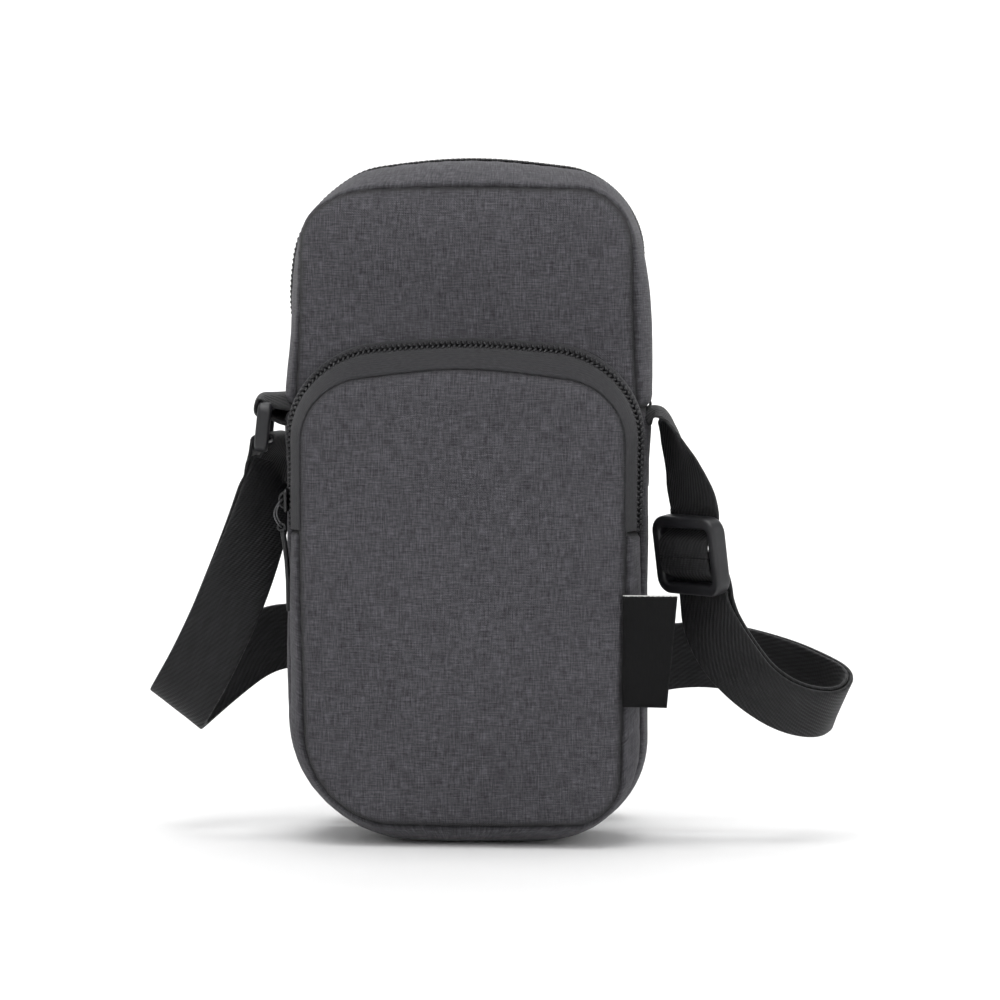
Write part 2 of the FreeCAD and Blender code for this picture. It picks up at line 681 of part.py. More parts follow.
# Main zip chain
for label, rear, front in (
    ("main_zip_tape_rear", MAIN_TAPE_REAR_EDGE, plus(MAIN_ZIP, CHAIN_HALF)),
    ("main_zip_tape_front", less(MAIN_ZIP, CHAIN_HALF), MAIN_TAPE_FRONT_EDGE),
):
    stations = [(depth, ZIP_WIDTH, ZIP_HEIGHT) for depth in (rear, front)]
    parts.append(band(label, stations, SEAM, TOP_RADIUS, True, TAPE))
for label, rear, front in (
    ("main_zip_coil_rear", plus(MAIN_ZIP, CHAIN_HALF), plus(MAIN_ZIP, SLIT_HALF)),
    ("main_zip_coil_front", less(MAIN_ZIP, SLIT_HALF), less(MAIN_ZIP, CHAIN_HALF)),
):
    parts.append(coil(label, rear, front, ZIP_WIDTH, ZIP_HEIGHT, SEAM, TOP_RADIUS))

# Front pocket
POCKET_LOW, POCKET_PANEL_LOW = of("base_trim"), of("pocket_lift")
POCKET_RADIUS, POCKET_BOTTOM_RADIUS = of("pocket_radius"), of("pocket_bottom_radius")
parts += [
    panel("pocket_panel", POCKET_INNER, POCKET_FACE, POCKET_PANEL_WIDTH, POCKET_PANEL_LOW,
          POCKET_PANEL_HEIGHT, POCKET_BOTTOM_RADIUS, POCKET_RADIUS),
    band("pocket_gusset",
         [(FRONT_FACE, POCKET_WIDTH, POCKET_LOW), (POCKET_TAPE_EDGE, POCKET_WIDTH, POCKET_LOW),
          (POCKET_INNER, POCKET_PANEL_WIDTH, POCKET_PANEL_LOW)],
         POCKET_SEAM, POCKET_BOTTOM_RADIUS, False, CLOTH),
    band("pocket_zip_tape_inner",
         [(POCKET_TAPE_EDGE, POCKET_WIDTH, POCKET_HEIGHT),
          (POCKET_INNER, POCKET_PANEL_WIDTH, POCKET_PANEL_HEIGHT)],
         POCKET_SEAM, POCKET_RADIUS, True, TAPE),
    band("pocket_zip_tape_outer",
         [(FRONT_FACE, POCKET_WIDTH, POCKET_HEIGHT),
          (plus(POCKET_ZIP, CHAIN_HALF), POCKET_WIDTH, POCKET_HEIGHT)],
         POCKET_SEAM, POCKET_RADIUS, True, TAPE),
    coil("pocket_zip_coil_outer", plus(POCKET_ZIP, CHAIN_HALF), plus(POCKET_ZIP, SLIT_HALF), POCKET_WIDTH,
         POCKET_HEIGHT, POCKET_SEAM, POCKET_RADIUS),
    coil("pocket_zip_coil_inner", less(POCKET_ZIP, SLIT_HALF), less(POCKET_ZIP, CHAIN_HALF), POCKET_WIDTH,
         POCKET_HEIGHT, POCKET_SEAM, POCKET_RADIUS),
]

# Zip sliders with their pulls: main on the right side, pocket on the left
for name, side, width, depth, seam in (
    ("main_zip", 1, ZIP_WIDTH, MAIN_ZIP, SEAM),
    ("pocket_zip", -1, POCKET_WIDTH, POCKET_ZIP, POCKET_SEAM),
):
    low = plus(seam, of("slider_lift"))
    parts.append(slider(f"{name}_slider", side, width, depth, low))
    parts.append(pull_loop(f"{name}_pull_loop", side, width, depth, low))
    parts.append(puller(f"{name}_puller", side, width, depth, low))

# Strap, its ring and its slider, and the label
spacing = size_of("layer_spacing") / 2
outer_route = in_glide(GLIDE_OUT_ROUTE) + shifted(STRAP_ROUTE, spacing) + in_ring(RING_OUTER_ROUTE)
inner_route = in_glide(GLIDE_BACK_ROUTE) + shifted(STRAP_ROUTE, -spacing) + in_ring(RING_INNER_ROUTE)
parts += [
    ring(),
    tri_glide(),
    side_label(),
    webbing("left_tab", in_ring(tab_route())),
    webbing("strap_root", from_seam(ROOT_ROUTE) + in_glide(GLIDE_IN_ROUTE)),
    webbing("strap_outer_layer", outer_route),
    webbing("strap_inner_layer", inner_route),
]

doc.recompute()
for thing in doc.Objects:
    if any(state in ("Invalid", "Error") for state in thing.State):
        raise RuntimeError(f"{thing.Label} failed: {thing.State}")
for part in parts:
    if part.Shape.isNull() or not part.Shape.isValid() or len(part.Shape.Solids) != 1:
        raise RuntimeError(f"{part.Label} is not one valid solid")

os.makedirs("parts", exist_ok=True)
for part in parts:
    part.Shape.exportStep(f"parts/{part.Label}.step")
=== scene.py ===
"""Looks of a phone pouch: soft cloth shells, zips, pulls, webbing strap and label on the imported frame.

Lengths inside the classes are millimetres where no other unit is given, in the frame's axes: +X right, front -Y, +Z up.
"""

from __future__ import annotations

import logging
import math
from dataclasses import dataclass, field, replace
from enum import Enum

import bmesh
import bpy
import numpy as np
from mathutils import Matrix, Vector


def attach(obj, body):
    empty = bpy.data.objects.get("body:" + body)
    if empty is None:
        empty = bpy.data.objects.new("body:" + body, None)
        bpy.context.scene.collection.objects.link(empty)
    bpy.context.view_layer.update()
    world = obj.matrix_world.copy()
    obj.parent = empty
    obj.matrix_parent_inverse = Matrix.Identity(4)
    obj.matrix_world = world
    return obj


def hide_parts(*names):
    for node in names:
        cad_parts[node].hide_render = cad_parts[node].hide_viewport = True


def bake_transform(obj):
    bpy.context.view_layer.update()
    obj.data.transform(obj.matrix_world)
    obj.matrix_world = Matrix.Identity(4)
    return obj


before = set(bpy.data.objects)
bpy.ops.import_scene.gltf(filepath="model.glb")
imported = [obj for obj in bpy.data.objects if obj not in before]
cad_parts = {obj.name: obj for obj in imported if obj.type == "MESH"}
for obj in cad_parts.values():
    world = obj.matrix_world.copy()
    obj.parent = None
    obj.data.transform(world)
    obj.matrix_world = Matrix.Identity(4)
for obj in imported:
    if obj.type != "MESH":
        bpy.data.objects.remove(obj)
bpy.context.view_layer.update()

LOG = logging.getLogger("phone_pouch")
MM = 0.001
UP = np.array((0.0, 0.0, 1.0))
REARWARD = np.array((0.0, 1.0, 0.0))

Array = np.ndarray
Material = bpy.types.Material
Piece = bpy.types.Object
Socket = bpy.types.NodeSocket
Triple = tuple[float, float, float]
Rows = tuple[tuple[float, ...], ...]


class Body(str, Enum):
    """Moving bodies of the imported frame."""

    POUCH = "pouch"
    RING = "ring"
    GLIDE = "glide"
    LABEL = "label"


class Slot(str, Enum):
    """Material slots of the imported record."""

    CLOTH = "cloth"
    TAPE = "zip_tape"
    COIL = "zip_coil"
    SLIDER = "zip_slider"
    WIRE = "pull_wire"
    PULLER = "puller"
    WEBBING = "webbing"
    PLASTIC = "strap_plastic"
    LABEL = "label"


class Side(Enum):
    """Side of the pouch, as the sign of its X."""

    LEFT = -1
    RIGHT = 1


# Finishes


class ShaderSheet:
    """Node sheet of one material, with short calls for the nodes that the finishes share."""

    def __init__(self, name: str, layer: str | None = None) -> None:
        """Start a material with its shader and the coordinates of its pattern.

        Args:
            name: Name of the material.
            layer: Map of the mesh that the pattern follows, or None for the object's own coordinates.
        """
        self.material = bpy.data.materials.new(name)
        self.material.use_nodes = True
        self.tree = self.material.node_tree
        self.shader = self.tree.nodes["Principled BSDF"]
        if layer:
            self.where = self.add("ShaderNodeUVMap", uv_map=layer).outputs[0]
            split = self.add("ShaderNodeSeparateXYZ")
            self.link(self.where, split.inputs[0])
            self.u, self.v = split.outputs[:2]
        else:
            scale = self.add("ShaderNodeVectorMath", operation="SCALE", Scale=1 / MM)
            self.link(self.add("ShaderNodeTexCoord").outputs["Object"], scale.inputs[0])
            self.where = scale.outputs[0]

    def add(self, kind: str, **values: object) -> bpy.types.Node:
        """Add a node and set its properties or input defaults.

        Args:
            kind: Type of the node.
            values: Property or input names, with spaces written as underscores.

        Returns:
            The new node.
        """
        node = self.tree.nodes.new(kind)
        for key, value in values.items():
            if hasattr(node, key):
                setattr(node, key, value)
            else:
                node.inputs[key.replace("_", " ")].default_value = value
        return node

    def link(self, source: Socket, target: Socket) -> None:
        """Join two sockets."""
        self.tree.links.new(source, target)

    def maths(self, operation: str, *terms: Socket | float) -> Socket:
        """Combine sockets and numbers.

        Args:
            operation: Name of the operation.
            terms: Sockets or numbers.

        Returns:
            The result's socket.
        """
        node = self.add("ShaderNodeMath", operation=operation)
        for place, term in zip(node.inputs, terms):
            if isinstance(term, Socket):
                self.link(term, place)
            else:
                place.default_value = term
        return node.outputs[0]

    def weigh(self, *parts: tuple[Socket, float]) -> Socket:
        """Sum of sockets, each times its weight.

        Args:
            parts: Sockets with their weights.

        Returns:
            The sum's socket.
        """
        terms = [socket if weight == 1 else self.maths("MULTIPLY", socket, weight) for socket, weight in parts]
        total = terms[0]
        for term in terms[1:]:
            total = self.maths("ADD", total, term)
        return total

    def noise(self, stretch: Triple, detail: float = 2.0, shift: float = 0.0) -> Socket:
        """Noise whose grains have given lengths.

        Args:
            stretch: Length of a grain along each axis.
            detail: Levels of finer noise.
            shift: Offset that makes two noises differ.

        Returns:
            Value between 0 and 1.
        """
        mapping = self.add("ShaderNodeMapping", Location=(shift, shift * 0.37, shift * 1.9),
                           Scale=tuple(1 / length for length in stretch))
        self.link(self.where, mapping.inputs["Vector"])
        node = self.add("ShaderNodeTexNoise", Scale=1.0, Detail=detail, Roughness=0.55)
        self.link(mapping.outputs[0], node.inputs["Vector"])
        return node.outputs[0]

    def ribs(self, value: Socket, pitch: float) -> Socket:
        """Even ribs along a coordinate, between -1 and 1."""
        return self.maths("SINE", self.maths("MULTIPLY", value, math.tau / pitch))

    def ramp(self, value: Socket, *stops: tuple[float, Triple]) -> Socket:
        """Colour for a value.

        Args:
            value: Value between 0 and 1.
            stops: Places with their linear colours.

        Returns:
            The colour's socket.
        """
        node = self.add("ShaderNodeValToRGB")
        elements = node.color_ramp.elements
        while len(elements) < len(stops):
            elements.new(0.5)
        for element, (place, colour) in zip(elements, stops):
            element.position = place
            element.color = (*colour, 1.0)
        self.link(value, node.inputs[0])
        return node.outputs[0]

    def mix(self, share: Socket, colour: Socket, other: Triple) -> Socket:
        """Colour that gives way to another one.

        Args:
            share: Share of the other colour, from 0 to 1.
            colour: First colour.
            other: The other colour, linear.

        Returns:
            The colour's socket.
        """
        node = self.add("ShaderNodeMix", data_type="RGBA")
        factor, first, second = node.inputs[0], node.inputs[6], node.inputs[7]
        self.link(share, factor)
        self.link(colour, first)
        second.default_value = (*other, 1.0)
        return node.outputs[2]

    def finish(self, colour: Socket, height: Socket, relief: float, strength: float, **constants: float) -> Material:
        """Wire the shader.

        Args:
            colour: Base colour.
            height: Height of the surface, about 0 to 1.
            relief: Depth of that height in millimetres.
            strength: Strength of the relief.
            constants: Inputs of the shader that are the same all over.

        Returns:
            The material.
        """
        bump = self.add("ShaderNodeBump", Strength=strength, Distance=relief * MM)
        self.link(height, bump.inputs["Height"])
        self.link(bump.outputs[0], self.shader.inputs["Normal"])
        self.link(colour, self.shader.inputs["Base Color"])
        for key, value in constants.items():
            self.shader.inputs[key.replace("_", " ")].default_value = value
        return self.material


def linear(*display: float) -> Triple:
    """Linear colour from display values of 0 to 255."""
    shares = [value / 255 for value in display]
    return tuple(share / 12.92 if share <= 0.04045 else ((share + 0.055) / 1.055) ** 2.4 for share in shares)


@dataclass(frozen=True)
class HeatherCloth:
    """Two-tone plain weave whose yarns vary in shade along their length, darkened by painted shade along its seams."""

    dark: Triple = linear(46, 45, 49)
    middle: Triple = linear(70, 69, 73)
    light: Triple = linear(97, 96, 101)
    # Near-black colour of the painted shade along the seams
    seam_shade: Triple = linear(8, 8, 9)
    yarn: float = 0.36
    slub: float = 4.6
    cloud: Triple = (34.0, 22.0, 1.0)

    def material(self) -> Material:
        """Build the material, whose pattern follows the cloth map.

        Returns:
            The material.
        """
        sheet = ShaderSheet("heather_cloth", "cloth")
        weft = sheet.noise((self.slub, self.yarn, 1.0))
        warp = sheet.noise((self.yarn, self.slub, 1.0), shift=41.0)
        fleck = sheet.noise((self.yarn * 2, self.yarn * 1.6, 1.0), shift=17.0)
        cloud = sheet.noise(self.cloud, shift=5.0)
        shade = sheet.weigh((weft, 0.38), (warp, 0.38), (fleck, 0.18), (cloud, 0.06))
        colour = sheet.ramp(shade, (0.37, self.dark), (0.5, self.middle), (0.64, self.light))
        crossing = sheet.maths("MULTIPLY", *(sheet.ribs(axis, self.yarn * 2) for axis in (sheet.u, sheet.v)))
        # Painted shade: the seam attribute mixes the cloth towards the near-black seam shade along the seams
        seam = sheet.add("ShaderNodeAttribute", attribute_name="seam")
        return sheet.finish(sheet.mix(seam.outputs["Fac"], colour, self.seam_shade),
                            sheet.weigh((crossing, 0.25), (shade, 1.0)), relief=0.2, strength=0.6, Roughness=0.93,
                            Sheen_Weight=0.1, Sheen_Roughness=0.5, Specular_IOR_Level=0.25)


@dataclass(frozen=True)
class ZipTape:
    """Fine dark twill of the zip tapes."""

    shade: Triple = linear(41, 40, 43)
    glint: Triple = linear(57, 57, 59)
    twill: float = 0.55

    def material(self) -> Material:
        """Build the material, whose twill follows the cloth map.

        Returns:
            The material.
        """
        sheet = ShaderSheet("zip_tape_twill", "cloth")
        slant = sheet.ribs(sheet.maths("ADD", sheet.u, sheet.v), self.twill)
        cords = sheet.ribs(sheet.v, self.twill * 1.7)
        grain = sheet.noise((1.6, 0.5, 1.0))
        colour = sheet.ramp(sheet.weigh((grain, 1.0), (slant, 0.08)), (0.3, self.shade), (0.75, self.glint))
        return sheet.finish(colour, sheet.weigh((slant, 0.3), (cords, 0.2)), relief=0.12, strength=0.6,
                            Roughness=0.82, Sheen_Weight=0.1, Specular_IOR_Level=0.3)


@dataclass(frozen=True)
class Webbing:
    """Black twill webbing with slanting ribs."""

    shade: Triple = linear(15, 15, 16)
    glint: Triple = linear(33, 33, 35)
    rib: float = 1.35
    slant: float = 0.5

    def material(self) -> Material:
        """Build the material, whose ribs follow the map along the webbing.

        Returns:
            The material.
        """
        sheet = ShaderSheet("black_webbing", "cloth")
        ribs = sheet.ribs(sheet.weigh((sheet.u, self.slant), (sheet.v, 1.0)), self.rib)
        threads = sheet.ribs(sheet.u, self.rib * 0.5)
        wear = sheet.noise((9.0, 0.6, 1.0), 3.0)
        colour = sheet.ramp(sheet.weigh((ribs, 0.14), (wear, 1.0)), (0.3, self.shade), (0.8, self.glint))
        return sheet.finish(colour, sheet.weigh((ribs, 0.4), (threads, 0.12)), relief=0.22, strength=0.7,
                            Roughness=0.66, Sheen_Weight=0.05, Specular_IOR_Level=0.3)


@dataclass(frozen=True)
class Moulding:
    """Moulded plastic or metal with a fine grain, worn a little lighter in patches."""

    name: str
    shade: Triple
    worn: Triple
    roughness: float
    metal: float = 0.0
    grain: float = 0.5
    relief: float = 0.04
    patch: float = 5.0

    def material(self) -> Material:
        """Build the material on the object's own coordinates.

        Returns:
            The material.
        """
        sheet = ShaderSheet(self.name)
        grain = sheet.noise((self.grain,) * 3, 3.0)
        patch = sheet.noise((self.patch,) * 3, 3.0, 9.0)
        return sheet.finish(sheet.ramp(patch, (0.35, self.shade), (0.72, self.worn)), grain, self.relief, strength=0.5,
                            Roughness=self.roughness, Metallic=self.metal, Specular_IOR_Level=0.5)


@dataclass(frozen=True)
class WovenLabel:
    """Black satin-woven label with a pale ragged band along its top edge."""

    shade: Triple = linear(6, 6, 7)
    glint: Triple = linear(14, 14, 15)
    # Colour of the pale band along the top edge
    pale_edge: Triple = linear(206, 206, 204)
    height: float = 33.0
    rib: float = 0.36
    step: float = 0.8

    def material(self) -> Material:
        """Build the material, whose weave and pale top band follow the cloth map.

        Returns:
            The material.
        """
        sheet = ShaderSheet("woven_label", "cloth")
        ribs = sheet.ribs(sheet.v, self.rib)
        steps = sheet.ribs(sheet.maths("ADD", sheet.u, sheet.v), self.step)
        grain = sheet.noise((0.4, 2.5, 1.0))
        weave = sheet.ramp(sheet.weigh((grain, 1.0), (steps, 0.07)), (0.3, self.shade), (0.75, self.glint))
        ragged = sheet.noise((0.35, 0.35, 1.0), 1.0, 3.0)
        # Pale ragged band along the top edge of the label
        edge = sheet.maths("GREATER_THAN", sheet.weigh((sheet.v, 1.0), (ragged, 0.5)), self.height / 2 - 0.02)
        return sheet.finish(sheet.mix(edge, weave, self.pale_edge), sheet.weigh((ribs, 0.3), (steps, 0.2)), relief=0.08,
                            strength=0.6, Roughness=0.8, Sheen_Weight=0.02, Specular_IOR_Level=0.2)


@dataclass
class Finishes:
    """Materials of the pouch, each built once."""

    cloth: Material = field(default_factory=HeatherCloth().material)
    tape: Material = field(default_factory=ZipTape().material)
    webbing: Material = field(default_factory=Webbing().material)
    label: Material = field(default_factory=WovenLabel().material)
    coil: Material = field(default_factory=Moulding(
        "zip_coil_nylon", linear(20, 20, 22), linear(34, 34, 36), roughness=0.34, grain=0.3).material)
    slider: Material = field(default_factory=Moulding(
        "slider_lacquer", linear(14, 14, 15), linear(24, 24, 26), roughness=0.36, grain=0.8).material)
    wire: Material = field(default_factory=Moulding(
        "pull_wire_lacquer", linear(74, 74, 76), linear(104, 104, 105), roughness=0.36, metal=0.7,
        grain=0.3).material)
    puller: Material = field(default_factory=Moulding(
        "puller_tape", linear(22, 22, 24), linear(32, 32, 34), roughness=0.55, grain=0.4, relief=0.06).material)
    plastic: Material = field(default_factory=Moulding(
        "strap_plastic_satin", linear(22, 22, 25), linear(32, 32, 35), roughness=0.45, grain=0.35,
        relief=0.05).material)


# Meshes


def ease(share: Array | float) -> Array:
    """Rise from 0 to 1 that is steep at first and flat at the end."""
    return 1 - (1 - np.clip(share, 0, 1)) ** 2


def unit(vectors: Array) -> Array:
    """Vectors of length one."""
    return vectors / np.maximum(np.linalg.norm(vectors, axis=-1, keepdims=True), 1e-9)


def lengths(points: Array) -> Array:
    """Running length along points, from 0."""
    steps = np.linalg.norm(np.diff(points, axis=0), axis=-1)
    return np.concatenate(([0.0], np.cumsum(steps)))


def undulation(points: Array, wavelength: float, seed: int) -> Array:
    """Gentle uneven waves through space.

    Args:
        points: Points, last axis three long.
        wavelength: Typical distance between crests.
        seed: Seed of the waves' directions.

    Returns:
        Height for each point, mostly between -1 and 1.
    """
    waves, spread = 8, 2.83
    source = np.random.RandomState(seed)
    total = np.zeros(points.shape[:-1])
    for _ in range(waves):
        direction = unit(source.normal(size=3))
        phase, pitch = source.uniform(0, math.tau), wavelength * source.uniform(0.7, 1.6)
        total += np.sin(points @ direction * (math.tau / pitch) + phase)
    return total / spread


def shown(name: str, data: bpy.types.ID) -> Piece:
    """Show a mesh, curve, light or camera.

    Args:
        name: Name of the object.
        data: What it shows.

    Returns:
        The object, linked to the scene.
    """
    piece = bpy.data.objects.new(name, data)
    bpy.context.scene.collection.objects.link(piece)
    return piece


def mesh_object(name: str, points: Array, faces: list[tuple[int, ...]], material: Material,
                cloth: Array | None = None, seam: Array | None = None) -> Piece:
    """Smooth mesh object at the origin.

    Args:
        name: Name of the piece.
        points: Its points.
        faces: Corners of each face.
        material: Its finish.
        cloth: Place of each point on the flat cloth.
        seam: How deep each point lies in a seam, from 0 to 1, which is the share of painted seam shade there.

    Returns:
        The object, linked to the scene.
    """
    mesh = bpy.data.meshes.new(name)
    mesh.from_pydata((np.asarray(points).reshape(-1, 3) * MM).tolist(), [], faces)
    if cloth is not None:
        layer = mesh.uv_layers.new(name="cloth")
        corners = np.empty(len(mesh.loops), np.int32)
        mesh.loops.foreach_get("vertex_index", corners)
        layer.data.foreach_set("uv", np.asarray(cloth).reshape(-1, 2)[corners].astype(np.float32).ravel())
    if seam is not None:
        layer = mesh.attributes.new("seam", "FLOAT", "POINT")
        layer.data.foreach_set("value", np.asarray(seam, np.float32).ravel())
    mesh.polygons.foreach_set("use_smooth", [True] * len(mesh.polygons))
    mesh.materials.append(material)
    mesh.update()
    return shown(name, mesh)


def settle(piece: Piece) -> Piece:
    """Turn a piece's modifiers into plain mesh.

    Args:
        piece: The piece.

    Returns:
        The same piece.
    """
    graph = bpy.context.evaluated_depsgraph_get()
    mesh = bpy.data.meshes.new_from_object(piece.evaluated_get(graph), preserve_all_data_layers=True, depsgraph=graph)
    piece.modifiers.clear()
    piece.data = mesh
    mesh.name = piece.name
    return piece


def face_outwards(piece: Piece) -> Piece:
    """Merge doubles and turn the faces of a closed piece outwards.

    Args:
        piece: The piece.

    Returns:
        The same piece.
    """
    work = bmesh.new()
    work.from_mesh(piece.data)
    bmesh.ops.remove_doubles(work, verts=work.verts, dist=1e-7)
    bmesh.ops.recalc_face_normals(work, faces=work.faces)
    work.to_mesh(piece.data)
    work.free()
    piece.data.update()
    return piece


def thicken(piece: Piece, thickness: float) -> Piece:
    """Give a cloth surface its thickness, inwards, and close its edges.

    Args:
        piece: The piece.
        thickness: Its thickness.

    Returns:
        The same piece.
    """
    modifier = piece.modifiers.new("thickness", "SOLIDIFY")
    modifier.thickness = thickness * MM
    modifier.offset = -1.0
    modifier.use_rim = True
    return face_outwards(settle(piece))


def joined(name: str, pieces: list[Piece]) -> Piece:
    """Make one piece of several of one finish.

    Args:
        name: Name of the whole.
        pieces: The pieces, which are used up.

    Returns:
        The whole.
    """
    work = bmesh.new()
    for piece in pieces:
        work.from_mesh(piece.data)
    mesh = pieces[0].data.copy()
    work.to_mesh(mesh)
    work.free()
    mesh.name = name
    for piece in pieces:
        bpy.data.objects.remove(piece)
    return shown(name, mesh)


def grid_faces(rows: int, columns: int, closed: bool = False, rings: bool = False) -> list[tuple[int, ...]]:
    """Quads of a grid of points.

    Args:
        rows: Number of rows.
        columns: Points in each row.
        closed: Whether the last row joins the first.
        rings: Whether each row is a ring.

    Returns:
        Corners of each quad.
    """
    faces = []
    for row in range(rows if closed else rows - 1):
        here, after = row * columns, (row + 1) % rows * columns
        for place in range(columns if rings else columns - 1):
            beside = (place + 1) % columns
            faces.append((here + place, after + place, after + beside, here + beside))
    return faces


def sweep(name: str, path: Array, across: Array, section: Array, material: Material,
          closed: bool = False) -> Piece:
    """Solid whose section follows a path.

    Args:
        name: Name of the piece.
        path: Points of the path.
        across: Direction of the section's first axis; one for all or one for each point.
        section: Outline of the section, as across and outward distances; one for all or one for each point.
        material: Its finish.
        closed: Whether the path is a loop.

    Returns:
        The closed piece, with a map of its length and section.
    """
    path = np.asarray(path, float)
    section = np.broadcast_to(section, (len(path), *np.shape(section)[-2:]))
    along = unit(np.roll(path, -1, 0) - np.roll(path, 1, 0) if closed else np.gradient(path, axis=0))
    wide = unit(across - along * np.sum(across * along, -1, keepdims=True))
    out = np.cross(along, wide)
    points = path[:, None] + wide[:, None] * section[:, :, :1] + out[:, None] * section[:, :, 1:]
    rows, count = points.shape[:2]
    cloth = np.stack(np.broadcast_arrays(lengths(path)[:, None], section[:, :, 0]), -1)
    faces = grid_faces(rows, count, closed, rings=True)
    if not closed:
        faces += [tuple(range(count))[::-1], tuple(range((rows - 1) * count, rows * count))]
    return face_outwards(mesh_object(name, points, faces, material, cloth))


def rounded_section(width: float, height: float, radius: float, steps: int = 4) -> Array:
    """Outline of a rounded bar.

    Args:
        width: Its width.
        height: Its height.
        radius: Radius of its corners.
        steps: Steps round each corner.

    Returns:
        Points of the outline.
    """
    corners = []
    for quarter, (a, b) in enumerate(((1, 1), (-1, 1), (-1, -1), (1, -1))):
        for angle in np.linspace(quarter, quarter + 1, steps + 1) * math.pi / 2:
            corners.append((a * (width / 2 - radius) + radius * math.cos(angle),
                            b * (height / 2 - radius) + radius * math.sin(angle)))
    return np.array(corners)


def rounded_loop(width: float, height: float, radius: float, runs: int) -> Array:
    """Closed path of a rounded rectangle.

    Args:
        width: Its width.
        height: Its height.
        radius: Radius of its corners.
        runs: Points along each straight run.

    Returns:
        Points of the path.
    """
    corners = rounded_section(width, height, radius, 6)
    path = []
    for start, end in zip(corners, np.roll(corners, -1, 0)):
        long = np.linalg.norm(end - start) > radius * 0.5
        path += [start + (end - start) * share for share in np.linspace(0, 1, runs if long else 1, endpoint=False)]
    return np.array(path)


def dress(piece: Piece, body: str | None, node: str) -> None:
    """Fix a finished piece in the frame.

    Args:
        piece: The piece.
        body: Body that carries it, or None where it bends between bodies.
        node: Solid that it stands for.
    """
    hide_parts(node)
    if body is not None:
        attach(piece, body)
    LOG.info("%s on %s", piece.name, body or "two bodies")


# Cloth outlines


@dataclass(frozen=True)
class Outline:
    """Upright rounded outline at one depth, with half-widths at heights."""

    depth: float
    half: Rows
    low: float
    high: float
    top_radius: float
    left_radius: float
    right_radius: float
    crown: float = 0.0
    droop: float = 0.0
    belly: float = 0.0
    inset: float = 0.0
    right_half: Rows = ()

    # Numbers of points along a leg, round a corner and along the run between the corners
    ARCH_COUNTS = (26, 16, 44)
    CRADLE_COUNTS = (30, 18, 30)
    # Height over which half-widths are smoothed, and over which the belly fades, upwards from the bottom
    SMOOTHING = 14.0
    BELLY_REACH = 40.0
    # Middle and reach of the droop at the upper left, as shares of the half-width
    DROOP_PLACE, DROOP_REACH = 0.86, 0.2

    @property
    def widest(self) -> float:
        """Greatest half-width."""
        return max(half for _, half in self.half)

    def within(self, distance: float) -> Outline:
        """The same outline drawn in by a distance."""
        return replace(self, inset=self.inset + distance)

    def at(self, depth: float) -> Outline:
        """The same outline at another depth."""
        return replace(self, depth=depth)

    def half_at(self, across: Array, height: Array) -> Array:
        """Half-width at each place, smoothed between the given ones of its side.

        Args:
            across: Places across, left ones negative.
            height: Their heights.

        Returns:
            The half-widths.
        """
        steps = np.linspace(-self.SMOOTHING / 2, self.SMOOTHING / 2, 9)
        left, right = (np.mean([np.interp(height + step, *np.array(rows).T) for step in steps], 0)
                       for rows in (self.half, self.right_half or self.half))
        return np.where(across > 0, right, left)

    def _shape(self, *parts: Array) -> Array:
        """Draw in, crown and taper points made at the greatest half-width.

        Args:
            parts: Points across and up.

        Returns:
            Points in the frame.
        """
        widest = self.widest
        across, height = np.concatenate(parts).T
        above = np.clip((height - (self.high - self.crown - self.top_radius)) / self.top_radius, 0, 1)
        height = height + self.crown * np.cos(np.clip(across / widest, -1, 1) * math.pi / 2) ** 2 * (above > 0)
        hang = np.exp(-((across + widest * self.DROOP_PLACE) / (widest * self.DROOP_REACH)) ** 2)
        height = height - self.droop * hang * above
        under = np.clip(1 - (height - self.low) / self.BELLY_REACH, 0, 1)
        height = height + self.belly * (across / widest) ** 2 * under
        share = (self.half_at(across, height) - self.inset) / (widest - self.inset)
        return np.stack((across * share, np.full(len(across), self.depth), height), -1)

    @staticmethod
    def _corner(centre: tuple[float, float], radius: float, start: float, count: int) -> Array:
        """Quarter arc from an angle in quarter turns, without its end."""
        angle = (start + np.arange(count) / count) * math.pi / 2
        return np.stack((centre[0] + radius * np.cos(angle), centre[1] + radius * np.sin(angle)), -1)

    @staticmethod
    def _run(start: tuple[float, float], end: tuple[float, float], count: int) -> Array:
        """Straight run of points, without its end."""
        share = np.arange(count)[:, None] / count
        return np.array(start) + (np.array(end) - np.array(start)) * share

    def _round(self, sign: int, level: float, radii: tuple[float, float], seam: float) -> Array:
        """Points from one side at a height, round two corners, to the other side at that height.

        Args:
            sign: 1 from the right side over the top, -1 from the left side round the bottom.
            level: Height of the run between the corners.
            radii: Radii of the two corners.
            seam: Height of the ends.

        Returns:
            Points in the frame.
        """
        leg, corner, run = self.ARCH_COUNTS if sign > 0 else self.CRADLE_COUNTS
        wide = sign * (self.widest - self.inset)
        first, second = (sign * max(radius - self.inset, 1.0) for radius in radii)
        return self._shape(
            self._run((wide, seam), (wide, level - first), leg),
            self._corner((wide - first, level - first), abs(first), 1 - sign, corner),
            self._run((wide - first, level), (second - wide, level), run),
            self._corner((second - wide, level - second), abs(second), 2 - sign, corner),
            self._run((-wide, level - second), (-wide, seam), leg),
            np.array([(-wide, seam)]))

    def arch(self, seam: float) -> Array:
        """Points from the right side at a height, over the top, to the left side."""
        return self._round(1, self.high - self.crown - self.inset, (self.top_radius, self.top_radius), seam)

    def cradle(self, seam: float) -> Array:
        """Points from the left side at a height, round the bottom, to the right side."""
        return self._round(-1, self.low + self.inset, (self.left_radius, self.right_radius), seam)


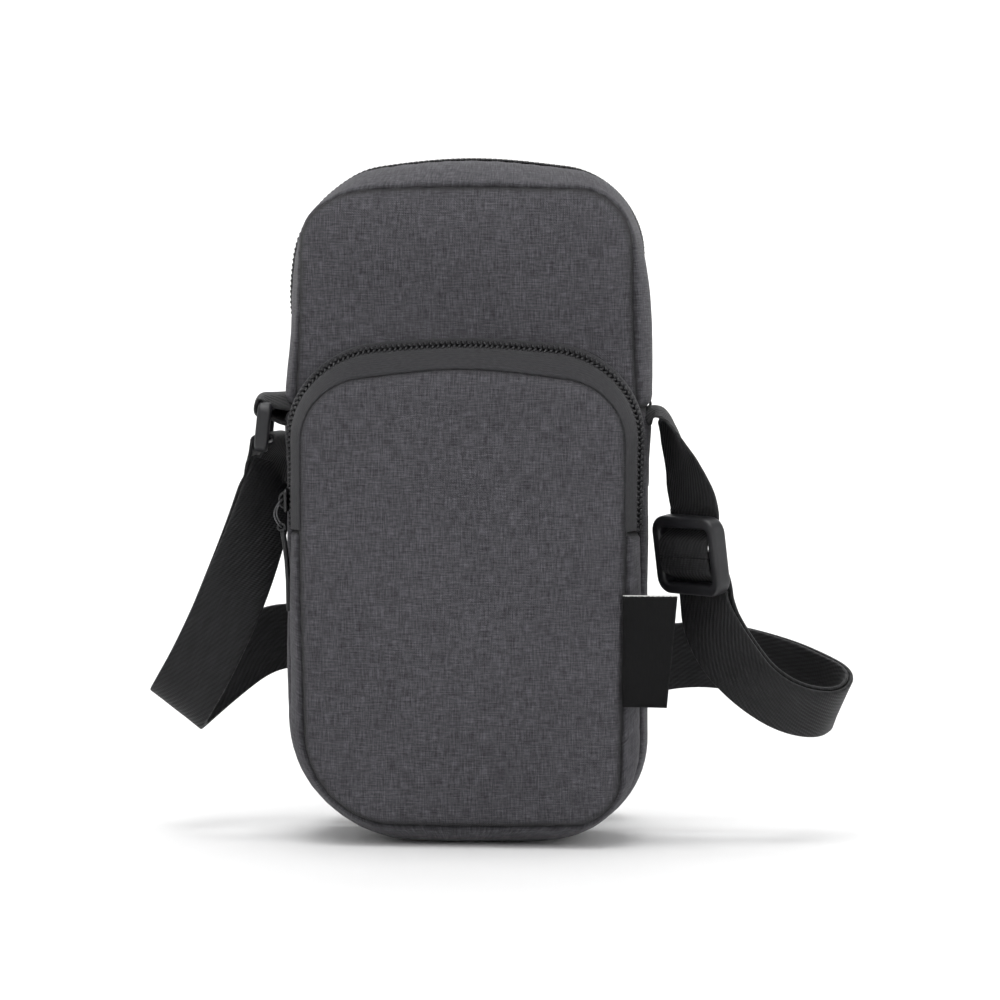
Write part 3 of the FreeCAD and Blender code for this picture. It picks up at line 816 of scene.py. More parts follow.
@dataclass
class ClothWork:
    """Makes cloth strips and panels with turned seams, and the share of painted shade along those seams."""

    finish: Material
    thickness: float = 1.1
    seam_dip: float = 1.8
    seam_reach: float = 2.6
    # Reach of the painted shade from each seam
    seam_shade: float = 1.4
    pucker: float = 0.14
    pucker_pitch: float = 6.5
    pucker_reach: float = 4.0
    sag: float = 0.45
    sag_pitch: float = 42.0
    strip_sag_reach: float = 12.0
    panel_sag_reach: float = 14.0
    bulge_reach: float = 34.0
    roll_reach: float = 6.0
    swell_reach: float = 16.0

    # Strength and pitch of the drift of the puckers
    STRIP_DRIFT, PANEL_DRIFT = (2.5, 30.0), (2.0, 25.0)
    # Half-width of a panel's innermost ring of points, least half-width of the others, and their distances inwards
    CORE, CORE_CLEAR = 3.0, 5.0
    INSETS = (0.0, 0.4, 0.8, 1.3, 1.9, 2.7, 3.8, 5.5, 8.0, 11.0, 14.5, 18.5, 23.0, 28.0, 33.0, 38.0, 43.0)

    def strip(self, name: str, lines: list[Array], seed: int, rows: int, sewn: bool = True) -> Piece:
        """Strip of cloth between seams.

        Args:
            name: Name of the piece.
            lines: Two or three lines of points, from the front seam to the rear one.
            seed: Seed of its unevenness.
            rows: Points across.
            sewn: Whether its edges and ends are turned seams with painted shade; if not, it lies flat.

        Returns:
            The piece.
        """
        share = (1 - np.cos(np.linspace(0, math.pi, rows))) / 2
        share = ((share + np.linspace(0, 1, rows)) / 2)[None, :, None]
        first, last = lines[0][:, None], lines[-1][:, None]
        if len(lines) == 3:
            pull = 2 * lines[1][:, None] - (first + last) / 2
            points = (1 - share) ** 2 * first + 2 * share * (1 - share) * pull + share ** 2 * last
        else:
            points = first + (last - first) * share
        out = unit(np.cross(np.gradient(points, axis=0), np.gradient(points, axis=1)))
        outward = points - np.array((0.0, 0.0, points.mean((0, 1))[2]))
        outward[..., 1] = 0
        turned = np.sum(out * outward) < 0
        out = -out if turned else out
        run = lengths(points[:, rows // 2])
        across = np.stack([lengths(line) for line in points])
        seam = None
        if sewn:
            near = np.minimum(np.minimum(across, across[:, -1:] - across), np.minimum(run, run[-1] - run)[:, None])
            fold = self.seam_dip * (1 - ease(near / self.seam_reach))
            drift, pitch = self.STRIP_DRIFT
            ruck = np.sin(run[:, None] / self.pucker_pitch * math.tau + drift * undulation(points, pitch, seed))
            ruck = ruck * self.pucker * np.exp(-near / self.pucker_reach)
            soft = self.sag * undulation(points, self.sag_pitch, seed + 1) * ease(near / self.strip_sag_reach)
            points = points + out * (soft + ruck - fold)[..., None]
            # Share of painted shade, deepest at the seams
            seam = np.exp(-(near / self.seam_shade) ** 2)
        faces = grid_faces(*points.shape[:2])
        if turned:
            faces = [face[::-1] for face in faces]
        cloth = np.stack(np.broadcast_arrays(run[:, None], across), -1)
        return thicken(mesh_object(name, points, faces, self.finish, cloth, seam), self.thickness)

    def panel(self, name: str, outline: Outline, seam: float, bulge: float, roll: float, seed: int,
              front: bool = True, swell: Triple | None = None) -> Piece:
        """Crowned panel that fills an outline.

        Args:
            name: Name of the piece.
            outline: Its edge.
            seam: Height of the side seams, where the outline's two halves meet.
            bulge: How far its middle stands out.
            roll: How far its edge is rolled back.
            seed: Seed of its unevenness.
            front: Whether it faces the front.
            swell: Height, reach and rise of a soft swelling across it, or None.

        Returns:
            The piece.
        """
        insets = [inset for inset in self.INSETS if inset < outline.widest - self.CORE_CLEAR]
        insets.append(outline.widest - self.CORE)
        drift, pitch = self.PANEL_DRIFT
        facing = -1.0 if front else 1.0
        rings, seams = [], []
        for inset in insets:
            drawn = outline.within(inset)
            ring = np.concatenate((drawn.arch(seam)[:-1], drawn.cradle(seam)[:-1]))
            rise = bulge * ease(inset / self.bulge_reach) + roll * ease(inset / self.roll_reach)
            ruck = np.sin(lengths(ring) / self.pucker_pitch * math.tau + drift * undulation(ring, pitch, seed))
            rise = rise + ruck * self.pucker * math.exp(-inset / self.pucker_reach)
            rise = rise + self.sag * undulation(ring, self.sag_pitch, seed + 1) * ease(inset / self.panel_sag_reach)
            rise = rise - self.seam_dip * (1 - ease(inset / self.seam_reach))
            if swell:
                height, reach, most = swell
                rise = rise + most * np.exp(-((ring[:, 2] - height) / reach) ** 2) * ease(inset / self.swell_reach)
            ring[:, 1] += facing * rise
            rings.append(ring)
            # Share of painted shade, deepest at the edge seam of the panel
            seams.append(np.full(len(ring), math.exp(-(inset / self.seam_shade) ** 2)))
        points = np.stack(rings)
        levels, count = points.shape[:2]
        faces = grid_faces(levels, count, rings=True)
        half = len(outline.arch(seam)) - 1
        for start, size in ((0, half), (half, count - half)):
            for place in range(size // 2):
                quad = (place, place + 1, size - place - 1, size - place)
                corners = [(levels - 1) * count + (start + step) % count for step in quad]
                faces.append(tuple(dict.fromkeys(corners)))
        faces = [face for face in faces if len(face) > 2]
        piece = face_outwards(mesh_object(name, points, faces, self.finish, points[..., (0, 2)], np.stack(seams)))
        if np.mean([polygon.normal.y for polygon in piece.data.polygons]) * facing < 0:
            piece.data.flip_normals()
        return thicken(piece, self.thickness)


# Main compartment


@dataclass
class MainCompartment:
    """Front and back panels with the gussets between them, and the main zip."""

    finishes: Finishes
    teeth: TeethTree
    seam: float = 130.0
    zip_depth: float = 14.5
    front: Outline = Outline(
        -8.6, ((0, 52.0), (118, 52.0), (150, 50.4), (170, 49.9), (200, 49.8)),
        low=0.6, high=195.8, top_radius=17.0, left_radius=36.0, right_radius=31.0, crown=0.8, droop=1.8, belly=1.2)
    widest: Outline = Outline(
        1.5, ((0, 54.2), (80, 54.2), (112, 54.4), (126, 54.9), (142, 55.1), (152, 54.0), (162, 52.8), (172, 51.7),
              (182, 50.9)),
        low=0.2, high=202.0, top_radius=21.0, left_radius=36.0, right_radius=31.0, crown=3.4, droop=1.8, belly=1.2,
        right_half=((0, 54.2), (80, 54.2), (112, 54.4), (126, 54.9), (142, 55.1), (152, 54.9), (162, 54.4),
                    (172, 53.4), (182, 51.4)))
    zip_edge: Outline = Outline(
        10.5, ((0, 52.5), (100, 52.5), (128, 50.2), (142, 50.9), (150, 53.2), (158, 54.7), (168, 54.6), (175, 53.7),
               (182, 52.4), (190, 51.0)),
        low=0.3, high=203.7, top_radius=24.0, left_radius=36.0, right_radius=31.0, crown=4.0, droop=1.6, belly=1.2,
        right_half=((0, 52.5), (100, 52.5), (128, 50.8), (142, 51.0), (158, 51.3), (168, 51.4), (182, 51.3),
                    (190, 51.0)))
    back: Outline = Outline(
        21.7, ((0, 50.2), (130, 50.2), (200, 49.3)),
        low=0.5, high=199.4, top_radius=22.0, left_radius=34.0, right_radius=31.0, crown=3.0, droop=1.0, belly=1.2)

    def build(self) -> None:
        """Make the panels, the gussets and the zip."""
        work, seam, edge = ClothWork(self.finishes.cloth), self.seam, self.zip_edge
        lower = [outline.cradle(seam) for outline in (self.front, self.widest, self.back)]
        upper = [outline.arch(seam) for outline in (self.front, self.widest, edge)]
        behind = [outline.arch(seam) for outline in (edge.at(18.4), self.back)]
        pieces = {
            "front_panel": work.panel("front_panel_cloth", self.front, seam, bulge=0.6, roll=1.2, seed=3,
                                      swell=(177.0, 19.0, 4.0)),
            "back_panel": work.panel("back_panel_cloth", self.back, seam, bulge=1.4, roll=1.2, seed=5, front=False),
            "lower_gusset": work.strip("lower_gusset_cloth", lower, seed=11, rows=34),
            "zip_gusset_front": work.strip("zip_gusset_front_cloth", upper, seed=13, rows=26),
            "zip_gusset_rear": work.strip("zip_gusset_rear_cloth", behind, seed=17, rows=10),
        }
        for node, piece in pieces.items():
            dress(piece, Body.POUCH.value, node)
        chain = ZipChain("main_zip", self.finishes, self.teeth, edge.at(self.zip_depth), seam,
                         tilt=((0.0, 0.0), (1.0, 0.0)), rows=("front", "rear"))
        chain.coils()
        chain.tapes(edge.within(1.0).at(9.6).arch(seam), edge.within(1.0).at(19.3).arch(seam))
        ZipPull("main", self.finishes, Side.RIGHT, chain=(50.8, self.zip_depth), low=135.0, wire_out=2.3,
                bail_rise=0.9).build()


# Zips


class TeethTree:
    """Geometry Nodes tree that sets a rounded tooth on every point of a chain row."""

    SIZES = {"Along": 1.0, "Across": 2.0, "Height": 1.25}

    def __init__(self) -> None:
        """Build the tree with its named inputs."""
        tree = self.tree = bpy.data.node_groups.new("zip_teeth", "GeometryNodeTree")
        kinds = {"Geometry": "Geometry", **dict.fromkeys((*self.SIZES, "Slant"), "Float"), "Finish": "Material"}
        for name, kind in kinds.items():
            tree.interface.new_socket(name, in_out="INPUT", socket_type=f"NodeSocket{kind}")
        tree.interface.new_socket("Geometry", in_out="OUTPUT", socket_type="NodeSocketGeometry")
        node, link = tree.nodes.new, tree.links.new
        given, result = node("NodeGroupInput"), node("NodeGroupOutput")
        tooth, shape = node("GeometryNodeMeshUVSphere"), node("GeometryNodeTransform")
        for name, value in (("Segments", 8), ("Rings", 6), ("Radius", 0.5)):
            tooth.inputs[name].default_value = value
        size, turn = node("ShaderNodeCombineXYZ"), node("ShaderNodeCombineXYZ")
        for name, socket in (*zip(self.SIZES, size.inputs), ("Slant", turn.inputs[2])):
            link(given.outputs[name], socket)
        facing = node("FunctionNodeAxesToRotation")
        facing.primary_axis, facing.secondary_axis = "Z", "X"
        for name, socket in zip(("out", "along"), facing.inputs):
            reader = node("GeometryNodeInputNamedAttribute")
            reader.data_type = "FLOAT_VECTOR"
            reader.inputs["Name"].default_value = name
            link(reader.outputs["Attribute"], socket)
        points, spread = node("GeometryNodeMeshToPoints"), node("GeometryNodeInstanceOnPoints")
        real, smooth = node("GeometryNodeRealizeInstances"), node("GeometryNodeSetShadeSmooth")
        finish = node("GeometryNodeSetMaterial")
        for source, target in (
            (tooth.outputs["Mesh"], shape.inputs["Geometry"]), (size.outputs[0], shape.inputs["Scale"]),
            (turn.outputs[0], shape.inputs["Rotation"]), (given.outputs["Geometry"], points.inputs["Mesh"]),
            (points.outputs[0], spread.inputs["Points"]), (shape.outputs[0], spread.inputs["Instance"]),
            (facing.outputs[0], spread.inputs["Rotation"]), (spread.outputs[0], real.inputs[0]),
            (real.outputs[0], smooth.inputs[0]), (smooth.outputs[0], finish.inputs["Geometry"]),
            (given.outputs["Finish"], finish.inputs["Material"]), (finish.outputs[0], result.inputs[0]),
        ):
            link(source, target)

    def row(self, name: str, places: Array, along: Array, out: Array, slant: float,
            finish: Material) -> Piece:
        """Make one row of teeth as a plain mesh.

        Args:
            name: Name of the piece.
            places: Middle of each tooth.
            along: Direction of the chain at each tooth.
            out: Direction that each tooth faces.
            slant: Turn of the teeth about the direction they face.
            finish: Their finish.

        Returns:
            The piece.
        """
        seed = mesh_object(name, places, [], finish)
        for key, vectors in (("along", along), ("out", out)):
            layer = seed.data.attributes.new(key, "FLOAT_VECTOR", "POINT")
            layer.data.foreach_set("vector", vectors.astype(np.float32).ravel())
        modifier = seed.modifiers.new("teeth", "NODES")
        modifier.node_group = self.tree
        values = {key: value * MM for key, value in self.SIZES.items()} | {"Slant": slant, "Finish": finish}
        for item in self.tree.interface.items_tree:
            if item.in_out == "INPUT" and item.name in values:
                modifier[item.identifier] = values[item.name]
        return settle(seed)


@dataclass
class ZipChain:
    """Two tapes with their rows of coil, along an outline's arch."""

    name: str
    finishes: Finishes
    teeth: TeethTree
    outline: Outline
    seam: float
    tilt: Rows
    rows: tuple[str, str]
    pitch: float = 1.6
    first_tooth: float = 0.4
    end_gap: float = 0.3
    row_gap: float = 0.78
    slant: float = 0.55
    lift: float = 0.35
    tape_sink: float = 0.25
    tape_gap: float = 0.08
    tape_reach: float = 2.0
    tape_swell: float = 0.0
    tape_thickness: float = 0.5

    def frame_along(self) -> tuple[Array, ...]:
        """Frame along the chain.

        Returns:
            Middle line of the chain, and its along, facing and across directions.
        """
        line = self.outline.arch(self.seam)
        along = unit(np.gradient(line, axis=0))
        radial = np.stack((along[:, 2], np.zeros(len(line)), -along[:, 0]), -1)
        share = lengths(line) / lengths(line)[-1]
        angle = np.radians(np.interp(share, *np.array(self.tilt).T))[:, None]
        out = radial * np.cos(angle) - REARWARD * np.sin(angle)
        across = REARWARD * np.cos(angle) + radial * np.sin(angle)
        return line, along, out, across

    def coils(self) -> None:
        """Make the two rows of coil, half a pitch apart."""
        frame = self.frame_along()
        run = lengths(frame[0])
        for place, (row, sign) in enumerate(zip(self.rows, (-1, 1))):
            steps = np.arange(self.first_tooth + place * self.pitch / 2, run[-1] - self.end_gap, self.pitch)
            line, along, out, across = (np.stack([np.interp(steps, run, axis) for axis in values.T], -1)
                                        for values in frame)
            middle = line + across * self.row_gap * sign + out * self.lift
            node = f"{self.name}_coil_{row}"
            piece = self.teeth.row(f"{node}_teeth", middle, unit(along), unit(out), self.slant * sign,
                                   self.finishes.coil)
            dress(piece, Body.POUCH.value, node)

    def tapes(self, *edges: Array) -> None:
        """Make the two tapes.

        Args:
            edges: Edges that the tapes are sewn to, at the same places as the chain.
        """
        line, _, out, across = self.frame_along()
        work = ClothWork(self.finishes.tape, self.tape_thickness)
        base = line - out * self.tape_sink
        for row, sign, edge in zip(self.rows, (-1, 1), edges):
            inner = base + across * self.tape_gap * sign
            shoulder = base + across * self.tape_reach * sign
            lines = [edge, shoulder * 0.5 + (edge + inner) * 0.25 + out * self.tape_swell, inner][::-sign]
            node = f"{self.name}_tape_{row}"
            dress(work.strip(f"{node}_twill", lines, seed=23, rows=12, sewn=False), Body.POUCH.value,
                  node)


@dataclass
class ZipPull:
    """Slider with its bail, wire loop and puller on a straight side of a chain."""

    name: str
    finishes: Finishes
    side: Side
    chain: tuple[float, float]
    low: float
    wire_out: float = 3.1
    loop_drop: float = 8.0
    loop_bow: float = 0.0
    bail_rise: float = 1.75
    wire: float = 0.6
    hug: float = 0.0

    # Height of the wire's pivot above the slider's foot
    PIVOT = 3.5
    # Ends of the post out of the chain and its height, and the bail's foot out of the chain and its half-length
    POST, BAIL = (-1.4, 1.6, 5.6), (2.0, 2.2)
    # Distance over which the tab bends towards the pouch
    HUG_REACH = 20
    # Half outline of the slider's plates, as heights and half-widths
    PLATE = ((0.0, 2.05), (0.9, 2.3), (2.6, 2.45), (4.4, 2.9), (5.7, 3.0), (6.6, 2.5), (7.0, 1.4))
    # Distance down, width and thickness along the pull tab
    TAB = ((0.9, 2.2, 1.2), (1.6, 2.8, 1.4), (2.6, 3.2, 1.4), (5.0, 3.3, 1.3), (10.0, 3.35, 1.2), (16.0, 3.4, 1.2),
           (21.0, 3.4, 1.2), (23.6, 3.3, 1.15), (24.7, 2.9, 1.0), (25.2, 2.0, 0.7))

    def place(self, out: Array | float, across: Array | float, up: Array | float) -> Array:
        """Points from distances out of the chain, across it and up from the slider's foot."""
        half, depth = self.chain
        return np.stack(np.broadcast_arrays(self.side.value * (half + out), depth + across, self.low + up), -1)

    def plate(self, name: str, level: float, thick: float, scale: float) -> Piece:
        """Shield-shaped plate of the slider, wide at its top.

        Args:
            name: Name of the piece.
            level: Distance of its middle out of the chain.
            thick: Its thickness.
            scale: Share of the full size.

        Returns:
            The piece.
        """
        half, edge = np.array(self.PLATE), 0.3
        rim = np.concatenate((half, (half * (1, -1))[::-1]))
        rim = (rim - (self.PIVOT, 0)) * scale + (self.PIVOT, 0)
        middle = rim.mean(0)
        layers = [(thick / 2, 1 - edge / 2.5), (thick / 2 - edge * 0.3, 1 - edge / 8), (thick / 2 - edge, 1.0)]
        layers = [(-rise, size) for rise, size in layers] + layers[::-1]
        points = [self.place(level + rise, *((rim - middle) * size + middle).T[::-1]) for rise, size in layers]
        count = len(rim)
        faces = grid_faces(len(layers), count, rings=True)
        faces += [tuple(range(start, start + count)) for start in (0, (len(layers) - 1) * count)]
        return face_outwards(mesh_object(name, np.concatenate(points), faces, self.finishes.slider))

    def slider(self) -> None:
        """Make the slider of two plates, the post between them and the bail."""
        coat = self.finishes.slider
        inner, outer, height = self.POST
        post = self.place(np.linspace(inner, outer, 5), 0.0, height)
        foot, half = self.BAIL
        turn = np.linspace(0, math.pi, 15)
        bail = self.place(foot + self.bail_rise * np.sin(turn) ** 0.7, 0.0, self.PIVOT - half * np.cos(turn))
        parts = [self.plate("upper", level=1.75, thick=1.0, scale=1.0),
                 self.plate("under", level=-1.55, thick=0.9, scale=0.8),
                 sweep("post", post, UP, rounded_section(width=2.0, height=0.55, radius=0.25), coat),
                 sweep("bail", bail, REARWARD, rounded_section(width=2.3, height=0.75, radius=0.3), coat)]
        dress(joined(f"{self.name}_zip_slider_body", parts), f"{self.name}_slider",
              f"{self.name}_zip_slider")

    def loop(self) -> None:
        """Make the wire loop, bowed outwards."""
        loop = rounded_loop(width=5.6, height=self.loop_drop, radius=2.2, runs=8)
        drop = loop[:, 1] - self.loop_drop / 2
        bow = self.loop_bow * np.sin(np.clip(-drop / self.loop_drop, 0, 1) * math.pi)
        path = self.place(self.wire_out + bow, loop[:, 0], self.PIVOT + drop)
        ring = rounded_section(self.wire, self.wire, self.wire * 0.49, 3)
        out = np.array((float(self.side.value), 0.0, 0.0))
        wire = sweep(f"{self.name}_zip_wire_loop", path, out, ring, self.finishes.wire, closed=True)
        dress(wire, f"{self.name}_loop", f"{self.name}_zip_pull_loop")

    def puller(self) -> None:
        """Make the puller: an eye round the wire and a tab that hugs the pouch."""
        coat, foot = self.finishes.puller, self.PIVOT - self.loop_drop
        angle = np.linspace(0, math.tau, 20, endpoint=False)
        round_wire = self.place(self.wire_out + np.cos(angle), 0.0, foot + np.sin(angle))
        fall = np.array(self.TAB)[:, 0]
        down = self.place(self.wire_out - self.hug * ease(fall / self.HUG_REACH), 0.0, foot - fall)
        sections = np.stack([rounded_section(width, thick, thick * 0.4) for _, width, thick in self.TAB])
        band = rounded_section(width=3.0, height=0.8, radius=0.3)
        parts = [sweep("eye", round_wire, REARWARD, band, coat, closed=True),
                 sweep("tab", down, REARWARD, sections, coat)]
        dress(joined(f"{self.name}_zip_pull_tab", parts), f"{self.name}_pull", f"{self.name}_zip_puller")

    def build(self) -> None:
        """Make the slider, the wire loop and the puller."""
        self.slider()
        self.loop()
        self.puller()


# Front pocket


@dataclass
class FrontPocket:
    """Pocket panel with its gusset and the zip over its top."""

    finishes: Finishes
    teeth: TeethTree
    seam: float = 94.0
    panel_split: float = 74.0
    root: Outline = Outline(
        -9.2, ((0, 51.8), (94, 52.2), (120, 53.2), (150, 53.4)),
        low=0.8, high=151.0, top_radius=27.0, left_radius=36.0, right_radius=31.0, crown=3.0, belly=1.2)
    swell: Outline = Outline(
        -15.0, ((0, 51.4), (94, 51.8), (150, 52.0)),
        low=1.6, high=149.0, top_radius=27.0, left_radius=35.0, right_radius=26.0, crown=3.0, belly=1.2)
    edge: Outline = Outline(
        -20.8, ((0, 46.6), (20, 47.2), (44, 47.8), (74, 48.6), (110, 48.8), (150, 48.6)),
        low=6.0, high=142.4, top_radius=18.0, left_radius=27.0, right_radius=14.0, crown=4.0, belly=1.0)
    chain: Outline = Outline(
        -13.2, ((90, 51.6), (106, 51.7), (118, 51.9), (130, 52.5), (150, 52.7)),
        low=0.0, high=148.6, top_radius=26.0, left_radius=30.0, right_radius=26.0, crown=3.0)

    def build(self) -> None:
        """Make the panel, the gusset and the zip."""
        work = ClothWork(self.finishes.cloth)
        panel = work.panel("pocket_panel_cloth", self.edge, self.panel_split, bulge=2.0, roll=1.8, seed=29)
        dress(panel, Body.POUCH.value, "pocket_panel")
        lines = [outline.cradle(self.seam) for outline in (self.edge, self.swell, self.root)]
        gusset = work.strip("pocket_gusset_cloth", lines, seed=31, rows=26)
        dress(gusset, Body.POUCH.value, "pocket_gusset")
        chain = ZipChain("pocket_zip", self.finishes, self.teeth, self.chain, self.seam,
                         tilt=((0.0, 40.0), (0.72, 45.0), (0.86, 30.0), (0.95, 8.0), (1.0, 8.0)),
                         rows=("inner", "outer"), tape_swell=0.9)
        chain.coils()
        chain.tapes(self.edge.within(0.5).at(-20.6).arch(self.seam), self.root.arch(self.seam))
        ZipPull("pocket", self.finishes, Side.LEFT, chain=(51.5, -12.9), low=99.0, loop_bow=1.9, hug=1.9).build()


# Strap


@dataclass
class Strap:
    """Webbing strap with its ring, strap slider, tab and root."""

    finishes: Finishes
    width: float = 20.0
    thickness: float = 1.2
    layer_spacing: float = 1.8
    # Places in metres, turns in degrees
    ring_place: Triple = (-0.0617, 0.0025, 0.124)
    ring_lean: float = 6.0
    ring_yaw: float = 4.5
    glide_place: Triple = (0.0671, -0.008, 0.0864)
    glide_yaw: float = -43.5
    glide_tip: float = 9.0

    # Width, height and corner radius of the mouldings' loops and of their sections
    RING_LOOP, RING_SECTION = (23.4, 12.4, 2.6), (4.2, 2.6, 1.0)
    GLIDE_LOOP, GLIDE_SECTION = (23.1, 20.2, 3.2), (5.2, 3.4, 1.0)
    BAR_HALF, BAR_SECTION = 11.2, (3.6, 3.6, 1.2)
    UPRIGHT = (0, 0, 1)
    # Routes in metres: middle points, each with the direction of the webbing's width where it isn't upright
    ROOT = ((0.0525, 0.001, 0.1292, 0, -1, -0.1), (0.0568, 0.001, 0.1312, 0.04, -1, -0.08),
            (0.0614, 0.0004, 0.1262, 0.16, -0.98, 0.04), (0.0641, -0.0022, 0.1155, 0.36, -0.93, 0.06),
            (0.0658, -0.0056, 0.1072, 0.58, -0.8, 0))
    RIGHT = ((0.0736, -0.0015, 0.064, 0.85, -0.5, 0.25), (0.0786, 0.0003, 0.055, 0.75, -0.45, 0.48),
             (0.0864, 0.0018, 0.046, 0.52, -0.6, 0.62), (0.097, 0.0034, 0.0394, 0.36, -0.6, 0.72),
             (0.108, 0.006, 0.0376, 0.32, -0.58, 0.75), (0.1124, 0.015, 0.041, 0.32, -0.5, 0.8),
             (0.106, 0.025, 0.0446, 0.26, -0.4, 0.88), (0.0915, 0.0292, 0.0494, 0.12, -0.15, 0.98),
             (0.07, 0.03, 0.054), (0.046, 0.0295, 0.05, -0.3, 0, 0.95), (0.022, 0.029, 0.037, -0.5, 0, 0.85),
             (0.0, 0.029, 0.025, -0.4, 0, 0.9), (-0.02, 0.0295, 0.0194, -0.1, 0, 1), (-0.036, 0.03, 0.019),
             (-0.046, 0.0315, 0.019), (-0.046, 0.041, 0.019), (-0.036, 0.0425, 0.019), (-0.024, 0.0422, 0.019))
    LEFT = ((-0.024, 0.0422, 0.019), (-0.012, 0.042, 0.019), (0.012, 0.0426, 0.019), (0.034, 0.0425, 0.019),
            (0.044, 0.044, 0.019), (0.044, 0.0535, 0.019), (0.034, 0.055, 0.019), (0.012, 0.0545, 0.0194),
            (-0.008, 0.053, 0.023, 0.3, 0, 0.95), (-0.026, 0.049, 0.033, 0.5, 0, 0.85),
            (-0.042, 0.042, 0.0485, 0.4, 0, 0.9), (-0.056, 0.034, 0.0585), (-0.068, 0.027, 0.056, -0.4, 0, 0.9),
            (-0.0795, 0.022, 0.047, -0.7, 0, 0.7), (-0.0886, 0.0175, 0.0389, -0.75, 0, 0.65),
            (-0.0906, 0.011, 0.0369, -0.8, 0, 0.6), (-0.0872, 0.0055, 0.0417, -0.8, 0, 0.6),
            (-0.0812, 0.004, 0.052, -0.85, 0, 0.5), (-0.074, 0.003, 0.067, -0.9, -0.1, 0.4),
            (-0.0676, 0.002, 0.083, -0.85, -0.4, 0.3), (-0.063, 0.0014, 0.097, -0.78, -0.6, 0.1),
            (-0.061, 0.001, 0.108, -0.6, -0.8, 0))
    # In the strap slider's frame: depth and height in metres
    GLIDE_IN = ((0.0034, 0.015), (0.0035, 0.0108), (0.0022, 0.0074), (-0.0022, 0.005), (-0.0029, 0.0024),
                (-0.0029, 0.0001))
    GLIDE_OUT = ((-0.0029, -0.0001), (-0.0029, -0.0024), (-0.0022, -0.005), (0.0022, -0.0074), (0.0035, -0.0108),
                 (0.0034, -0.0145))
    GLIDE_BACK = ((0.0034, 0.001), (0.0036, -0.0025), (0.0052, -0.007), (0.0058, -0.0108), (0.0057, -0.0145))
    # In the ring's frame: side and height in metres, turn of the webbing to the left and dip of its front in degrees
    RING_OUTER = ((0.0036, -0.0115, 26, 0), (0.004, -0.009, 25, 0), (0.0054, -0.0062, 17, 0),
                  (0.0042, -0.0016, 13, 0), (0.0001, -0.0028, 0, 0))
    RING_INNER = ((-0.0016, -0.0115, 12, 0), (-0.002, -0.009, 8, 0), (-0.0029, -0.0062, 0, 0),
                  (-0.0029, -0.0029, 0, 0), (-0.0001, -0.0028, 0, 0))
    TAB = ((0.0086, 0.011, 0, 0), (0.0025, 0.0099, 0, 0), (-0.0031, 0.0094, 0, 0), (-0.0031, 0.0033, 0, 0),
           (0.0012, 0.003, 0, 0), (0.004, 0.0042, 0, 16), (0.0086, 0.0048, 0, 22))
    # How far the edges hang below the middle, at the first points of the root and the tab
    ROOT_DROOP = (3.6, 3.6, 3.0, 1.4, 0.3)
    TAB_DROOP = (-5.2, -3.4, -0.6)

    @property
    def ring_frame(self) -> Matrix:
        """Placement of the ring."""
        turn = Matrix.Rotation(math.radians(self.ring_yaw), 4, "Z")
        return Matrix.Translation(self.ring_place) @ turn @ Matrix.Rotation(math.radians(self.ring_lean), 4, "Y")

    @property
    def glide_frame(self) -> Matrix:
        """Placement of the strap slider."""
        turn = Matrix.Rotation(math.radians(self.glide_yaw), 4, "Z")
        return Matrix.Translation(self.glide_place) @ turn @ Matrix.Rotation(math.radians(self.glide_tip), 4, "X")

    def in_ring(self, route: Rows) -> list:
        """Route in the pouch's frame.

        Args:
            route: Rows in the ring's frame.

        Returns:
            Points, each with the direction of the webbing's width.
        """
        rows = []
        for x, z, turn, dip in route:
            across = (self.ring_frame.to_3x3() @ Matrix.Rotation(math.radians(-turn), 3, "Z")
                      @ Matrix.Rotation(math.radians(dip), 3, "X") @ Vector((0, -1, 0)))
            rows.append((*(self.ring_frame @ Vector((x, 0, z))), *across))
        return rows

    def in_glide(self, route: Rows) -> list:
        """Route of the pouch's frame from points of the strap slider's."""
        across = self.glide_frame.to_3x3() @ Vector((1, 0, 0))
        return [(*(self.glide_frame @ Vector((0, y, z))), *across) for y, z in route]

    def shifted(self, route: Rows, distance: float) -> list:
        """Route moved out of its webbing's face.

        Args:
            route: Points, each with the direction of the webbing's width where it isn't upright.
            distance: How far, in metres.

        Returns:
            Points, each with the direction of the webbing's width.
        """
        points = [Vector(row[:3]) for row in route]
        moved = []
        for place, row in enumerate(route):
            across = row[3:] or self.UPRIGHT
            along = points[min(place + 1, len(points) - 1)] - points[max(place - 1, 0)]
            normal = along.cross(Vector(across)).normalized()
            moved.append((*(points[place] + normal * distance), *across))
        return moved

    @staticmethod
    def spline(points: list) -> Array:
        """Smooth curve.

        Args:
            points: Its control points.

        Returns:
            Points along it.
        """
        curve = bpy.data.curves.new("route", "CURVE")
        curve.dimensions = "3D"
        line = curve.splines.new("NURBS")
        line.points.add(len(points) - 1)
        for knot, point in zip(line.points, points):
            knot.co = (*point, 1.0)
        line.order_u = 3
        line.use_endpoint_u = True
        line.resolution_u = 10
        holder = shown("route", curve)
        graph = bpy.context.evaluated_depsgraph_get()
        mesh = bpy.data.meshes.new_from_object(holder.evaluated_get(graph))
        found = np.array([vertex.co for vertex in mesh.vertices])
        bpy.data.objects.remove(holder)
        bpy.data.curves.remove(curve)
        bpy.data.meshes.remove(mesh)
        return found

